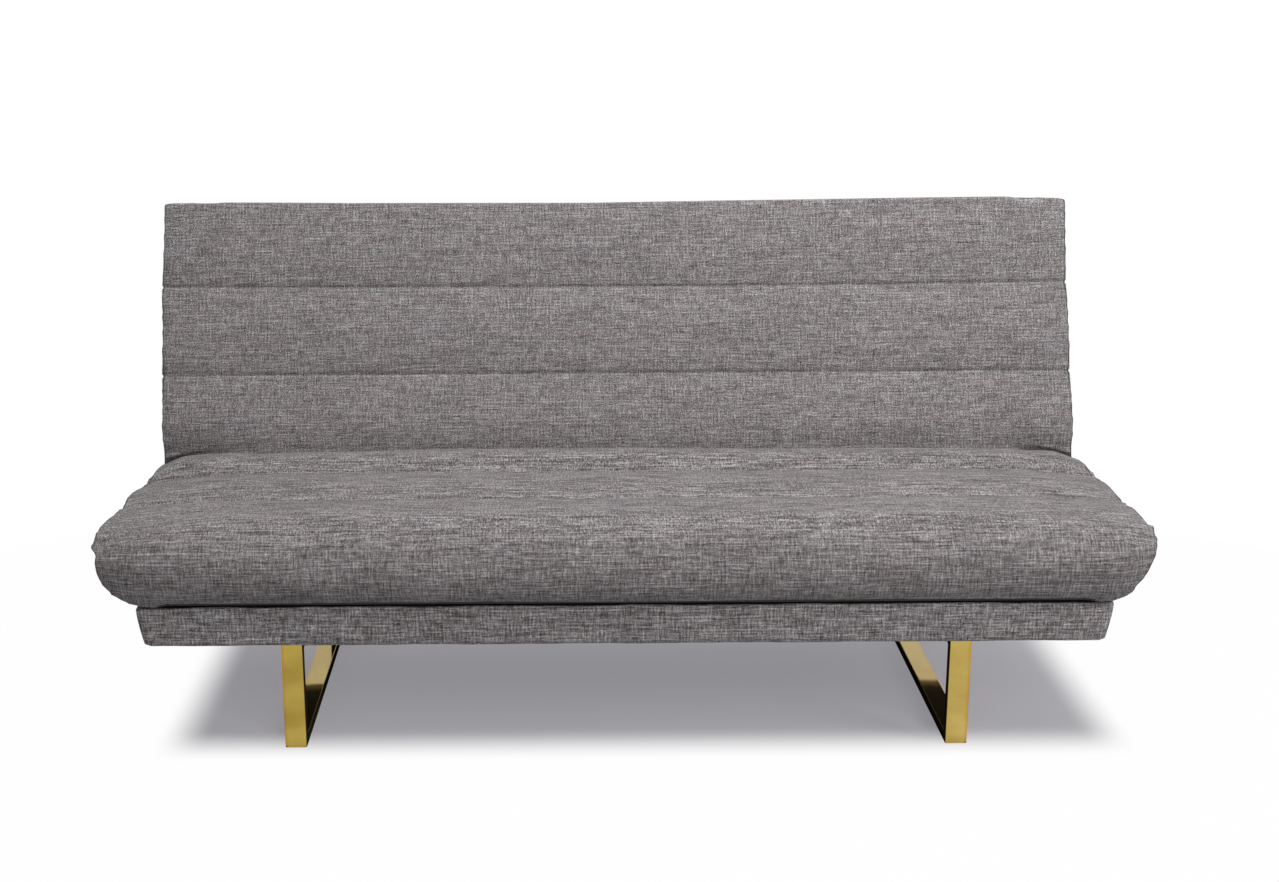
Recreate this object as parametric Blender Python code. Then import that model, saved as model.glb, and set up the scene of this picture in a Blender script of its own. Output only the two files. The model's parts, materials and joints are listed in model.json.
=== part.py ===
"""A three-position sofa bed: a channelled seat and back on a shallow base with two brass loops.

Metres, +Z up, the front towards -Y. X = 0 is the middle of the sofa, Y = 0 is halfway
between the nose of the seat and the rearmost point of the upright back, Z = 0 is the floor.
Both hinges turn on one axis along X, which runs through the round lower end of the back.
"""
import math

import bmesh
import bpy
from mathutils import Vector

# Clearances
GAP = 0.0003
RUNNING_GAP = 0.0004
FOLD_CLEARANCE = 0.007
OVERRUN = 0.002
WELD = 0.00001

# Base frame and its upholstered band
BASE_FRONT_OVERHANG = 0.045
BASE_REAR_REACH = 0.158
BASE_HEIGHT = 0.070
BAND_HALF_WIDTH = 0.870
BAND_THICKNESS = 0.006
BAND_END_FLARE = 0.010
BAND_FRONT_FLARE = 0.004
BAND_EDGE_ROUND = 0.004
BAND_CORNER_RADIUS = 0.012
BAND_TURN_OVER = 0.0015
RAIL_THICKNESS = 0.022
LEG_RAIL_WIDTH = 0.080
LEG_RAIL_HEIGHT = 0.045
CLOTH_THICKNESS = 0.001

# Leg loops: rectangular brass tube bent and welded to a closed loop
LOOP_END_INSET = 0.259
LOOP_SET_BACK = 0.020
LOOP_REAR_SET_BACK = 0.030
LOOP_HEIGHT = 0.2094
TUBE_FACE = 0.040
TUBE_THICKNESS = 0.020
LOOP_OUTER_RADIUS = 0.004
LOOP_INNER_RADIUS = 0.003
LOOP_EDGE_ROUND = 0.0012
GLIDE_LENGTH = 0.060
GLIDE_WIDTH = 0.032
GLIDE_THICKNESS = 0.002
GLIDE_EDGE_ROUND = 0.0006
GLIDE_INSET = 0.030
LEG_BOLT_INSET = 0.110
LEG_BOLT_RADIUS = 0.004
LEG_BOLT_HEAD_RADIUS = 0.0075
LEG_BOLT_HEAD_HEIGHT = 0.004
LEG_BOLT_GRIP = 0.030

# Seat panel, measured from the hinge axis
SEAT_DEPTH = 0.555
SEAT_THICKNESS = 0.150
SEAT_END_OVERHANG = 0.066
SEAT_END_BULGE = 0.008
SEAT_END_TUCK = 0.082
SEAT_END_FALL = 0.020
SEAT_NOSE_HEIGHT = 0.092
SEAT_NOSE_TUCK = 0.048
SEAT_NOSE_REACH = 0.070
SEAT_REAR_ROUND = 0.036
SEAT_REAR_CHANNEL = 0.150
SEAT_MIDDLE_CHANNEL = 0.170
SEAT_CROWN = 0.017
SEAT_FRONT_CROWN = 0.013
SEAT_POCKET_FRONT_WALL = 0.064
SEAT_POCKET_REAR_WALL = 0.034
SEAT_POCKET_SIDE_ROOM = 0.0051

# Back panel, measured from the hinge axis in its own slope
BACK_RECLINE = math.radians(18)
BACK_LENGTH = 0.583
BACK_THICKNESS = 0.130
BACK_END_OVERHANG = 0.069
BACK_END_BULGE = 0.006
BACK_END_FALL = 0.008
BACK_FALL_REACH = 0.060
BACK_TOP_ROUND = 0.022
BACK_CHANNEL = 0.178
BACK_CROWN = 0.012
BACK_POCKET_START = 0.0445
BACK_POCKET_TOP_WALL = 0.022
BACK_POCKET_END_WALL = 0.0335
BACK_NOTCH_TOP = 0.035
BACK_ARM_SLOT_FRONT = 0.016
REAR_PANEL_THICKNESS = 0.003

# Steel tube frames and plywood decks inside the two panels
FRAME_TUBE = 0.025
FRAME_WALL = 0.002
DECK_THICKNESS = 0.006

# Hinge hardware, one set each side
HINGE_LIFT = 0.008
BRACKET_THICKNESS = 0.005
BRACKET_HUB_RADIUS = 0.022
BRACKET_FOOT_HALF_WIDTH = 0.045
BRACKET_FOOT_HEIGHT = 0.058
BRACKET_SCREW_SPACING = 0.060
RATCHET_RADIUS = 0.024
RATCHET_THICKNESS = 0.005
NOTCH_DEPTH = 0.0035
NOTCH_ANGLES_DEG = (5.0, 24.0, 35.0)
LOUNGE_ANGLE = math.radians(-36)
FLAT_ANGLE = math.radians(-72)
ARM_THICKNESS = 0.004
SEAT_ARM_HUB_RADIUS = 0.018
BACK_ARM_HUB_RADIUS = 0.019
SEAT_ARM_HUB_ARC = (math.radians(-70), math.radians(120))
BACK_ARM_HUB_ARC = (math.radians(150), math.radians(310))
SEAT_ARM_REACH = 0.260
BACK_ARM_REACH = 0.250
PIVOT_RADIUS = 0.006
PIVOT_HEAD_RADIUS = 0.0105
PIVOT_HEAD_HEIGHT = 0.0075
PIVOT_TIP = 0.002
NUT_FLATS = 0.019
NUT_HEIGHT = 0.010
BUSH_WALL = 0.003
SCREW_RADIUS = 0.0025
SCREW_HEAD_RADIUS = 0.005
SCREW_HEAD_HEIGHT = 0.002
SCREW_LENGTH = 0.018
HINGE_SLOT_MARGIN = 0.003

# Pawl that drops into the ratchet notches, and the leaf spring behind it
PAWL_PIN_DISTANCE = 0.038
PAWL_PIN_ANGLE = math.radians(38)
PAWL_PIN_RADIUS = 0.0025
PAWL_PIN_HEAD_RADIUS = 0.0045
PAWL_PIN_HEAD_HEIGHT = 0.0012
PAWL_BOSS_RADIUS = 0.0048
PAWL_TIP_CLEARANCE = 0.0006
PAWL_TIP_ANGLE = math.radians(10)
PAWL_THICKNESS = 0.0046
SPRING_THICKNESS = 0.0008
SPRING_WIDTH = 0.0036
# The pawl's finger and the spring: shares of the way from the pin to the tip, and of the boss
PAWL_FINGER_SHARES = ((1.015, -0.96), (1.06, -0.46), (1.0, 0.0), (0.55, 0.96))
SPRING_LEAF_SHARES = (0.7, 0.0, -0.35)

# Segments of round pieces and cushions
BOLT_SEGMENTS = 20
CORNER_STEPS = 4
HUB_SEGMENTS = 28
CHANNEL_STEPS = 7
NOSE_STEPS = 7
ROUND_STEPS = 4
END_ROWS = 3
SEAM_ANGLE = 50
BAND_ANGLE = 50
EDGE_ANGLE = 60
TURNED_ANGLE = 40
STATION_SHARES = (0.0, 0.35, 0.65, 0.84, 0.93, 0.975, 1.0)
END_PINCH_SHARE = 0.35

# How full each curve of the cushions is: the powers that the plain curves are raised to
CHANNEL_FULLNESS = 0.6
NOSE_FULLNESS = 0.8
NOSE_UNDERCUT = 1.1
FRONT_PANEL_FULLNESS = 3
END_TUCK_FULLNESS = 4.6
END_BULGE_HEIGHT = 4
END_FALL_FULLNESS = 10
END_PINCH_FULLNESS = 24
BACK_END_FULLNESS = 0.7
REAR_CHANNEL_SHARE = 0.9
TOP_CHANNEL_SHARE = 0.8
BACK_FLAT_SHARE = 0.5

# Places that follow from the sizes above
BASE_BOTTOM = GLIDE_THICKNESS + GAP + LOOP_HEIGHT + GAP
BASE_TOP = BASE_BOTTOM + BASE_HEIGHT
SEAT_BOTTOM_Z = BASE_TOP + GAP
AXIS_Z = BASE_TOP + BACK_THICKNESS / 2 + HINGE_LIFT
SEAT_REAR = -(BACK_THICKNESS / 2 + FOLD_CLEARANCE)
SEAT_NOSE = SEAT_REAR - SEAT_DEPTH
SEAT_BOTTOM = SEAT_BOTTOM_Z - AXIS_Z
SEAT_TOP = SEAT_BOTTOM + SEAT_THICKNESS
SEAT_HALF_WIDTH = BAND_HALF_WIDTH + SEAT_END_OVERHANG
BACK_HALF_WIDTH = BAND_HALF_WIDTH + BACK_END_OVERHANG
BACK_POCKET_HALF_WIDTH = BACK_HALF_WIDTH - BACK_POCKET_END_WALL
BACK_REAR = BACK_THICKNESS / 2
BACK_FRONT = -BACK_THICKNESS / 2
BACK_REACH = (BACK_REAR * math.cos(BACK_RECLINE)
              + (BACK_LENGTH - BACK_TOP_ROUND) * math.sin(BACK_RECLINE))
AXIS_Y = (-SEAT_NOSE - BACK_REACH) / 2
BASE_FRONT = AXIS_Y + SEAT_NOSE + BASE_FRONT_OVERHANG
BASE_REAR = AXIS_Y + BASE_REAR_REACH
RAIL_HALF_LENGTH = BAND_HALF_WIDTH - BAND_THICKNESS
RAIL_FRONT = BASE_FRONT + BAND_FRONT_FLARE + BAND_THICKNESS
RAIL_REAR = BASE_REAR - BAND_FRONT_FLARE - BAND_THICKNESS
RAIL_INNER_X = RAIL_HALF_LENGTH - RAIL_THICKNESS
LOOP_HALF_SPACING = BAND_HALF_WIDTH - LOOP_END_INSET
LOOP_FRONT = BASE_FRONT + LOOP_SET_BACK
LOOP_DEPTH = BASE_REAR - LOOP_REAR_SET_BACK - LOOP_FRONT
LOOP_BOTTOM = GLIDE_THICKNESS + GAP
LOOP_TOP = LOOP_BOTTOM + LOOP_HEIGHT

# The hinge stack, from the side rail inwards
BRACKET_X = (RAIL_INNER_X - GAP - BRACKET_THICKNESS, RAIL_INNER_X - GAP)
RATCHET_X = (BRACKET_X[0] - RATCHET_THICKNESS, BRACKET_X[0])
BACK_ARM_X = (RATCHET_X[0] - RUNNING_GAP - ARM_THICKNESS, RATCHET_X[0] - RUNNING_GAP)
SEAT_ARM_X = (BACK_ARM_X[0] - RUNNING_GAP - ARM_THICKNESS, BACK_ARM_X[0] - RUNNING_GAP)
SEAT_POCKET_HALF_WIDTH = SEAT_ARM_X[1] + SEAT_POCKET_SIDE_ROOM
NUT_X = (SEAT_ARM_X[0] - RUNNING_GAP - NUT_HEIGHT, SEAT_ARM_X[0] - RUNNING_GAP)
PAWL_X = (BACK_ARM_X[1] + RUNNING_GAP, BACK_ARM_X[1] + RUNNING_GAP + PAWL_THICKNESS)
SEAT_TUBE_X = SEAT_ARM_X[0] - GAP - FRAME_TUBE / 2
BACK_TUBE_X = BACK_ARM_X[0] - GAP - FRAME_TUBE / 2
SLOT_X = (NUT_X[0] - PIVOT_TIP - HINGE_SLOT_MARGIN,
          BRACKET_X[1] + GAP + PIVOT_HEAD_HEIGHT + HINGE_SLOT_MARGIN)

FABRIC = ("fabric", (0.250, 0.225, 0.220), 0.95, 0.0)
BRASS = ("brass", (0.70, 0.52, 0.22), 0.12, 1.0)
STEEL = ("steel", (0.08, 0.08, 0.085), 0.45, 0.6)
ZINC = ("zinc", (0.55, 0.55, 0.56), 0.35, 1.0)
WOOD = ("wood", (0.55, 0.38, 0.22), 0.70, 0.0)
DARK_CLOTH = ("dark_cloth", (0.02, 0.02, 0.02), 0.95, 0.0)
PLASTIC = ("plastic", (0.03, 0.03, 0.03), 0.50, 0.0)


def clear_scene():
    for item in list(bpy.data.objects):
        bpy.data.objects.remove(item, do_unlink=True)


def make_material(node, finish):
    """One Principled material for one piece."""
    kind, colour, roughness, metallic = finish
    material = bpy.data.materials.new(node + "_" + kind)
    material.use_nodes = True
    shader = material.node_tree.nodes["Principled BSDF"]
    shader.inputs["Base Color"].default_value = (*colour, 1)
    shader.inputs["Roughness"].default_value = roughness
    shader.inputs["Metallic"].default_value = metallic
    material.diffuse_color = (*colour, 1)
    return material


def add_object(node, body, finish, parent=None, smooth=None):
    """Turns a bmesh into a named object, closed and with its faces outwards."""
    bmesh.ops.recalc_face_normals(body, faces=body.faces)
    mesh = bpy.data.meshes.new(node)
    body.to_mesh(mesh)
    body.free()
    piece = bpy.data.objects.new(node, mesh)
    bpy.context.collection.objects.link(piece)
    mesh.materials.append(make_material(node, finish))
    if smooth is not None:
        mesh.shade_smooth()
        mesh.set_sharp_from_angle(angle=math.radians(smooth))
    piece.parent = parent
    return piece


def add_axis(name, place, tilt=0.0, parent=None):
    """An empty on a joint's axis, which carries the pieces that turn there."""
    axis = bpy.data.objects.new(name, None)
    axis.location = place
    axis.rotation_euler = (tilt, 0, 0)
    axis.parent = parent
    bpy.context.collection.objects.link(axis)
    return axis


def box_body(low, high):
    body = bmesh.new()
    bmesh.ops.create_cube(body, size=1.0)
    for vertex in body.verts:
        vertex.co = Vector([low[i] if vertex.co[i] < 0 else high[i] for i in range(3)])
    return body


def round_edges(piece, width, segments=1, angle=EDGE_ANGLE):
    bevel = piece.modifiers.new("edge_round", "BEVEL")
    bevel.width = width
    bevel.segments = segments
    bevel.limit_method = "ANGLE"
    bevel.angle_limit = math.radians(angle)


def extruded_body(outline, x_low, x_high):
    """A flat plate: an outline in Y and Z, extruded along X."""
    body = bmesh.new()
    near = [body.verts.new((x_low, y, z)) for y, z in outline]
    face = body.faces.new(near)
    grown = bmesh.ops.extrude_face_region(body, geom=[face])["geom"]
    moved = [item for item in grown if isinstance(item, bmesh.types.BMVert)]
    bmesh.ops.translate(body, verts=moved, vec=(x_high - x_low, 0, 0))
    return body


def turned_body(profile, segments, direction="X", centre=(0, 0)):
    """A turned piece: (distance along the axis, radius) points, closed at the axis or as a ring."""
    body = bmesh.new()
    rings = []
    for along, radius in profile:
        ring = []
        for k in range(segments if radius > 0 else 1):
            turn = 2 * math.pi * k / segments
            a = centre[0] + radius * math.cos(turn)
            b = centre[1] + radius * math.sin(turn)
            ring.append(body.verts.new((along, a, b) if direction == "X" else (a, b, along)))
        rings.append(ring)
    pairs = list(zip(rings, rings[1:]))
    if profile[0][1] > 0:
        pairs.append((rings[-1], rings[0]))
    for first, second in pairs:
        for k in range(segments):
            n = (k + 1) % segments
            if len(first) == 1:
                body.faces.new((first[0], second[k], second[n]))
            elif len(second) == 1:
                body.faces.new((first[k], second[0], first[n]))
            else:
                body.faces.new((first[k], second[k], second[n], first[n]))
    return body


def square_tube_body(start, end):
    """An open-ended square steel tube along X, Y or Z, from the middle of one end to the other."""
    start, end = Vector(start), Vector(end)
    run = max(range(3), key=lambda i: abs(end[i] - start[i]))
    across = [i for i in range(3) if i != run]
    body = bmesh.new()
    loops = []
    for place, half in ((start, FRAME_TUBE / 2), (start, FRAME_TUBE / 2 - FRAME_WALL),
                        (end, FRAME_TUBE / 2 - FRAME_WALL), (end, FRAME_TUBE / 2)):
        loop = []
        for a, b in ((-half, -half), (half, -half), (half, half), (-half, half)):
            corner = place.copy()
            corner[across[0]] += a
            corner[across[1]] += b
            loop.append(body.verts.new(corner))
        loops.append(loop)
    skin_rings(body, loops)
    return body


def arc(centre, radius, start, end, steps):
    """Points along an arc, angles in radians from the first axis to the second."""
    return [(centre[0] + radius * math.cos(start + (end - start) * k / steps),
             centre[1] + radius * math.sin(start + (end - start) * k / steps))
            for k in range(steps + 1)]


def rounded_rectangle(low, high, radius):
    outline = []
    for corner, start in (((high[0], high[1]), 0), ((low[0], high[1]), 1),
                          ((low[0], low[1]), 2), ((high[0], low[1]), 3)):
        centre = (corner[0] + (radius if corner[0] == low[0] else -radius),
                  corner[1] + (radius if corner[1] == low[1] else -radius))
        quarter = math.pi / 2
        outline += arc(centre, radius, start * quarter, (start + 1) * quarter, CORNER_STEPS)
    return outline


def skin_rings(body, rings):
    """Joins closed rings of equal length one to the next, and the last to the first."""
    for first, second in zip(rings, rings[1:] + rings[:1]):
        for k in range(len(first)):
            n = (k + 1) % len(first)
            body.faces.new((first[k], first[n], second[n], second[k]))


def cut(piece, body, name, parent=None):
    """Cuts a body out of a piece and keeps the cutter as a hidden guide."""
    bmesh.ops.recalc_face_normals(body, faces=body.faces)
    mesh = bpy.data.meshes.new(name)
    body.to_mesh(mesh)
    body.free()
    cutter = bpy.data.objects.new(name, mesh)
    cutter.hide_render = True
    cutter.display_type = "WIRE"
    cutter.parent = parent
    bpy.context.collection.objects.link(cutter)
    boolean = piece.modifiers.new(name, "BOOLEAN")
    boolean.operation = "DIFFERENCE"
    boolean.solver = "EXACT"
    boolean.object = cutter
    return cutter


def join_on(piece, body, name, parent=None):
    """Welds a second shape onto a piece, so that the two are one solid."""
    guide = cut(piece, body, name, parent)
    piece.modifiers[name].operation = "UNION"
    return guide


def hole_body(x_low, x_high, radius, centre=(0, 0), segments=HUB_SEGMENTS):
    profile = ((x_low - OVERRUN, 0), (x_low - OVERRUN, radius), (x_high + OVERRUN, radius),
               (x_high + OVERRUN, 0))
    return turned_body(profile, segments, centre=centre)


def sided(span, side):
    """Mirrors a pair of distances along X onto one side of the sofa."""
    return (span[0], span[1]) if side > 0 else (-span[1], -span[0])


def flip_profile(profile, side):
    return tuple((side * along, radius) for along, radius in profile)


# Base

def make_base_frame():
    """Four boards on edge, and two flat boards across them that the loops are bolted to."""
    top = BASE_TOP - BAND_TURN_OVER - GAP
    for node, front in (("base_front_rail", RAIL_FRONT), ("base_rear_rail", RAIL_REAR - RAIL_THICKNESS)):
        add_object(node, box_body((-RAIL_HALF_LENGTH, front, BASE_BOTTOM),
                                  (RAIL_HALF_LENGTH, front + RAIL_THICKNESS, top)), WOOD)
    inner_front = RAIL_FRONT + RAIL_THICKNESS + GAP
    inner_rear = RAIL_REAR - RAIL_THICKNESS - GAP
    for side, word in ((-1, "left"), (1, "right")):
        x = sided((RAIL_INNER_X, RAIL_HALF_LENGTH), side)
        rail = add_object("base_side_rail_" + word,
                          box_body((x[0], inner_front, BASE_BOTTOM), (x[1], inner_rear, top)), WOOD)
        for k, y in enumerate(bracket_screw_places()):
            hole = hole_body(RAIL_INNER_X, RAIL_INNER_X + SCREW_LENGTH, SCREW_RADIUS + GAP,
                             (y, bracket_screw_height()), BOLT_SEGMENTS)
            bmesh.ops.scale(hole, verts=hole.verts, vec=(side, 1, 1))
            cut(rail, hole, "rail_hole_%s_%d" % (word, k))
        centre = side * LOOP_HALF_SPACING
        bottom = BASE_BOTTOM + CLOTH_THICKNESS + 2 * GAP
        leg_rail = add_object("base_leg_rail_" + word,
                              box_body((centre - LEG_RAIL_WIDTH / 2, inner_front, bottom),
                                       (centre + LEG_RAIL_WIDTH / 2, inner_rear,
                                        bottom + LEG_RAIL_HEIGHT)), WOOD)
        for k, y in enumerate(leg_bolt_places()):
            cut(leg_rail, bolt_hole_body(centre, y), "leg_rail_hole_%s_%d" % (word, k))


def make_base_band():
    """The padded fabric band round the base, turned in over the top edge of the rails."""
    inner = (RAIL_HALF_LENGTH + GAP, RAIL_FRONT - GAP, RAIL_REAR + GAP)
    below = (BAND_HALF_WIDTH, BASE_FRONT + BAND_FRONT_FLARE, BASE_REAR - BAND_FRONT_FLARE)
    above = (BAND_HALF_WIDTH + BAND_END_FLARE, BASE_FRONT, BASE_REAR)
    lip = (RAIL_INNER_X, RAIL_FRONT + RAIL_THICKNESS, RAIL_REAR - RAIL_THICKNESS)
    low, turn_low = BASE_BOTTOM + GAP, BASE_TOP - BAND_TURN_OVER
    edge = BAND_EDGE_ROUND
    section = [(inner, 0, low, 0),
               (below, -edge, low, BAND_CORNER_RADIUS),
               (below, 0, low + edge, BAND_CORNER_RADIUS)]
    for back_off, lift in arc((0, 0), edge, 0, math.pi / 2, CORNER_STEPS):
        section.append((above, back_off - edge, BASE_TOP - edge + lift, BAND_CORNER_RADIUS))
    section += [(lip, 0, BASE_TOP, 0), (lip, 0, turn_low, 0), (inner, 0, turn_low, 0)]
    body = bmesh.new()
    rings = []
    for (half, front, rear), out, z, radius in section:
        outline = rounded_rectangle((-half - out, front - out), (half + out, rear + out), radius)
        rings.append([body.verts.new((x, y, z)) for x, y in outline])
    skin_rings(body, rings)
    bmesh.ops.remove_doubles(body, verts=body.verts, dist=WELD)
    add_object("base_band", body, FABRIC, smooth=BAND_ANGLE)


def make_base_cloth():
    """The dust cloth under the base, with a hole for each leg bolt."""
    x = RAIL_INNER_X - GAP
    low = (-x, RAIL_FRONT + RAIL_THICKNESS + GAP, BASE_BOTTOM + GAP)
    high = (x, RAIL_REAR - RAIL_THICKNESS - GAP, BASE_BOTTOM + GAP + CLOTH_THICKNESS)
    cloth = add_object("base_under_cloth", box_body(low, high), DARK_CLOTH)
    for side, word in ((-1, "left"), (1, "right")):
        for k, y in enumerate(leg_bolt_places()):
            cut(cloth, bolt_hole_body(side * LOOP_HALF_SPACING, y), "cloth_hole_%s_%d" % (word, k))


# Leg loops

def leg_bolt_places():
    return (LOOP_FRONT + LEG_BOLT_INSET, LOOP_FRONT + LOOP_DEPTH - LEG_BOLT_INSET)


def bolt_hole_body(x, y):
    low = LOOP_TOP - TUBE_THICKNESS
    profile = ((low - OVERRUN, 0), (low - OVERRUN, LEG_BOLT_RADIUS + GAP),
               (low + LEG_BOLT_GRIP + TUBE_THICKNESS + GAP, LEG_BOLT_RADIUS + GAP),
               (low + LEG_BOLT_GRIP + TUBE_THICKNESS + GAP, 0))
    return turned_body(profile, BOLT_SEGMENTS, "Z", (x, y))


def make_leg_loop(side, word):
    """One closed loop: front post, floor bar, rear post and the bar under the base."""
    outer = rounded_rectangle((LOOP_FRONT, LOOP_BOTTOM), (LOOP_FRONT + LOOP_DEPTH, LOOP_TOP),
                              LOOP_OUTER_RADIUS)
    inner = rounded_rectangle((LOOP_FRONT + TUBE_THICKNESS, LOOP_BOTTOM + TUBE_THICKNESS),
                              (LOOP_FRONT + LOOP_DEPTH - TUBE_THICKNESS, LOOP_TOP - TUBE_THICKNESS),
                              LOOP_INNER_RADIUS)
    centre = side * LOOP_HALF_SPACING
    body = bmesh.new()
    rings = []
    for outline, x in ((outer, -TUBE_FACE / 2), (inner, -TUBE_FACE / 2), (inner, TUBE_FACE / 2),
                       (outer, TUBE_FACE / 2)):
        rings.append([body.verts.new((centre + x, y, z)) for y, z in outline])
    skin_rings(body, rings)
    loop = add_object("leg_loop_" + word, body, BRASS, smooth=TURNED_ANGLE)
    round_edges(loop, LOOP_EDGE_ROUND)
    for k, y in enumerate(leg_bolt_places()):
        cut(loop, bolt_hole_body(centre, y), "loop_hole_%s_%d" % (word, k))


def make_leg_bolts_and_glides(side, word):
    """Two bolts from below through the top bar, and two plastic glides under the floor bar."""
    centre = side * LOOP_HALF_SPACING
    seat_z = LOOP_TOP - TUBE_THICKNESS - GAP
    for place, y in zip(("front", "rear"), leg_bolt_places()):
        profile = ((seat_z - LEG_BOLT_HEAD_HEIGHT, 0),
                   (seat_z - LEG_BOLT_HEAD_HEIGHT, LEG_BOLT_HEAD_RADIUS - LEG_BOLT_RADIUS / 2),
                   (seat_z - LEG_BOLT_HEAD_HEIGHT / 2, LEG_BOLT_HEAD_RADIUS),
                   (seat_z, LEG_BOLT_HEAD_RADIUS),
                   (seat_z, LEG_BOLT_RADIUS),
                   (seat_z + LEG_BOLT_GRIP + TUBE_THICKNESS, LEG_BOLT_RADIUS),
                   (seat_z + LEG_BOLT_GRIP + TUBE_THICKNESS, 0))
        add_object("leg_bolt_%s_%s" % (place, word),
                   turned_body(profile, BOLT_SEGMENTS, "Z", (centre, y)), ZINC, smooth=TURNED_ANGLE)
    starts = (LOOP_FRONT + GLIDE_INSET, LOOP_FRONT + LOOP_DEPTH - GLIDE_INSET - GLIDE_LENGTH)
    for place, y in zip(("front", "rear"), starts):
        glide = add_object("leg_glide_%s_%s" % (place, word),
                           box_body((centre - GLIDE_WIDTH / 2, y, 0),
                                    (centre + GLIDE_WIDTH / 2, y + GLIDE_LENGTH, GLIDE_THICKNESS)),
                           PLASTIC)
        round_edges(glide, GLIDE_EDGE_ROUND)


# Cushions

def channel_shape(share):
    """Height of a channel's crown, from 0 at one seam to 1 in the middle and 0 at the next."""
    return (4 * share * (1 - share)) ** CHANNEL_FULLNESS


def seat_chain():
    """The seat's section from the front crease over the nose and the channels to the rear foot.

    Each point is (Y, Z, crown), from the hinge axis; crown is how far the stuffing lifts it.
    """
    crease = SEAT_NOSE + SEAT_NOSE_TUCK
    nose_z = SEAT_BOTTOM + SEAT_NOSE_HEIGHT
    front_top = SEAT_TOP + SEAT_FRONT_CROWN
    points = [(crease, SEAT_BOTTOM, 0)]
    for k in range(1, NOSE_STEPS):
        turn = math.pi / 2 * k / NOSE_STEPS
        points.append((crease - SEAT_NOSE_TUCK * math.sin(turn) ** NOSE_FULLNESS,
                       nose_z - SEAT_NOSE_HEIGHT * math.cos(turn) ** NOSE_UNDERCUT, 0))
    for k in range(NOSE_STEPS + 1):
        turn = math.pi / 2 * k / NOSE_STEPS
        points.append((SEAT_NOSE + SEAT_NOSE_REACH * (1 - math.cos(turn)),
                       nose_z + (front_top - nose_z) * math.sin(turn), 0))

    front_seam = SEAT_REAR - SEAT_REAR_CHANNEL - SEAT_MIDDLE_CHANNEL
    rear_seam = SEAT_REAR - SEAT_REAR_CHANNEL
    rear_edge = SEAT_REAR - SEAT_REAR_ROUND
    panel_start = SEAT_NOSE + SEAT_NOSE_REACH
    for k in range(1, CHANNEL_STEPS + 1):
        share = k / CHANNEL_STEPS
        crown = SEAT_FRONT_CROWN * math.sqrt(1 - share ** FRONT_PANEL_FULLNESS)
        points.append((panel_start + (front_seam - panel_start) * share, SEAT_TOP + crown, 0))
    for low, high, crown_share in ((front_seam, rear_seam, 1), (rear_seam, rear_edge, REAR_CHANNEL_SHARE)):
        for k in range(1, CHANNEL_STEPS + 1):
            share = k / CHANNEL_STEPS
            crown = SEAT_CROWN * channel_shape(share * crown_share)
            points.append((low + (high - low) * share, SEAT_TOP, crown))

    corner = (rear_edge, SEAT_TOP - SEAT_REAR_ROUND)
    edge_crown = points[-1][2]
    for k, (y, z) in enumerate(arc(corner, SEAT_REAR_ROUND, math.pi / 2, 0, ROUND_STEPS)):
        if k > 0:
            points.append((y, z, edge_crown * (1 - k / ROUND_STEPS)))
    for k in range(1, END_ROWS + 1):
        points.append((SEAT_REAR, corner[1] + (SEAT_BOTTOM - corner[1]) * k / END_ROWS, 0))
    return points


def seat_reach(z):
    """How far the seat reaches sideways at a height: widest under the top edge, tucked in below."""
    share = min(1, max(0, (z - SEAT_BOTTOM) / SEAT_THICKNESS))
    tuck = SEAT_END_TUCK * (1 - share) ** END_TUCK_FULLNESS
    bulge = SEAT_END_BULGE * math.sin(math.pi * share ** END_BULGE_HEIGHT)
    return SEAT_HALF_WIDTH - tuck + bulge


def back_sink(share, low, high, top):
    """How far the back's front face lies behind its fullest line, at a share of one channel."""
    if low == 0:
        return 0 if share < BACK_FLAT_SHARE else BACK_CROWN * (1 - channel_shape(share))
    full = TOP_CHANNEL_SHARE if high == top else 1
    return BACK_CROWN * (1 - channel_shape(share * full))


def back_chain():
    """The back's section from the rear foot round the lower end, up the channels and over the top.

    Each point is (N, U, crown): N runs to the rear, U up the slope, both from the hinge axis.
    """
    radius = BACK_THICKNESS / 2
    points = [(n, u, 0) for n, u in arc((0, 0), radius, 0, -math.pi, 2 * NOSE_STEPS)]
    top = BACK_LENGTH - BACK_TOP_ROUND
    seams = (0, BACK_LENGTH - 2 * BACK_CHANNEL, BACK_LENGTH - BACK_CHANNEL, top)
    for low, high in zip(seams, seams[1:]):
        for k in range(1, CHANNEL_STEPS + 1):
            share = k / CHANNEL_STEPS
            points.append((BACK_FRONT + back_sink(share, low, high, top), low + (high - low) * share, 0))
    start = points[-1][0]
    for n, u in arc((start + BACK_TOP_ROUND, top), BACK_TOP_ROUND, math.pi, math.pi / 2, ROUND_STEPS)[1:]:
        points.append((n, u, 0))
    corner = (BACK_REAR - BACK_TOP_ROUND, top)
    for n, u in arc(corner, BACK_TOP_ROUND, math.pi / 2, 0, ROUND_STEPS):
        points.append((n, u, 0))
    return points


def back_reach(n):
    """How far the back reaches sideways: its sides are drawn in at both seams."""
    share = min(1, max(0, (n - BACK_FRONT) / BACK_THICKNESS))
    return BACK_HALF_WIDTH + BACK_END_BULGE * (4 * share * (1 - share)) ** BACK_END_FULLNESS


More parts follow.
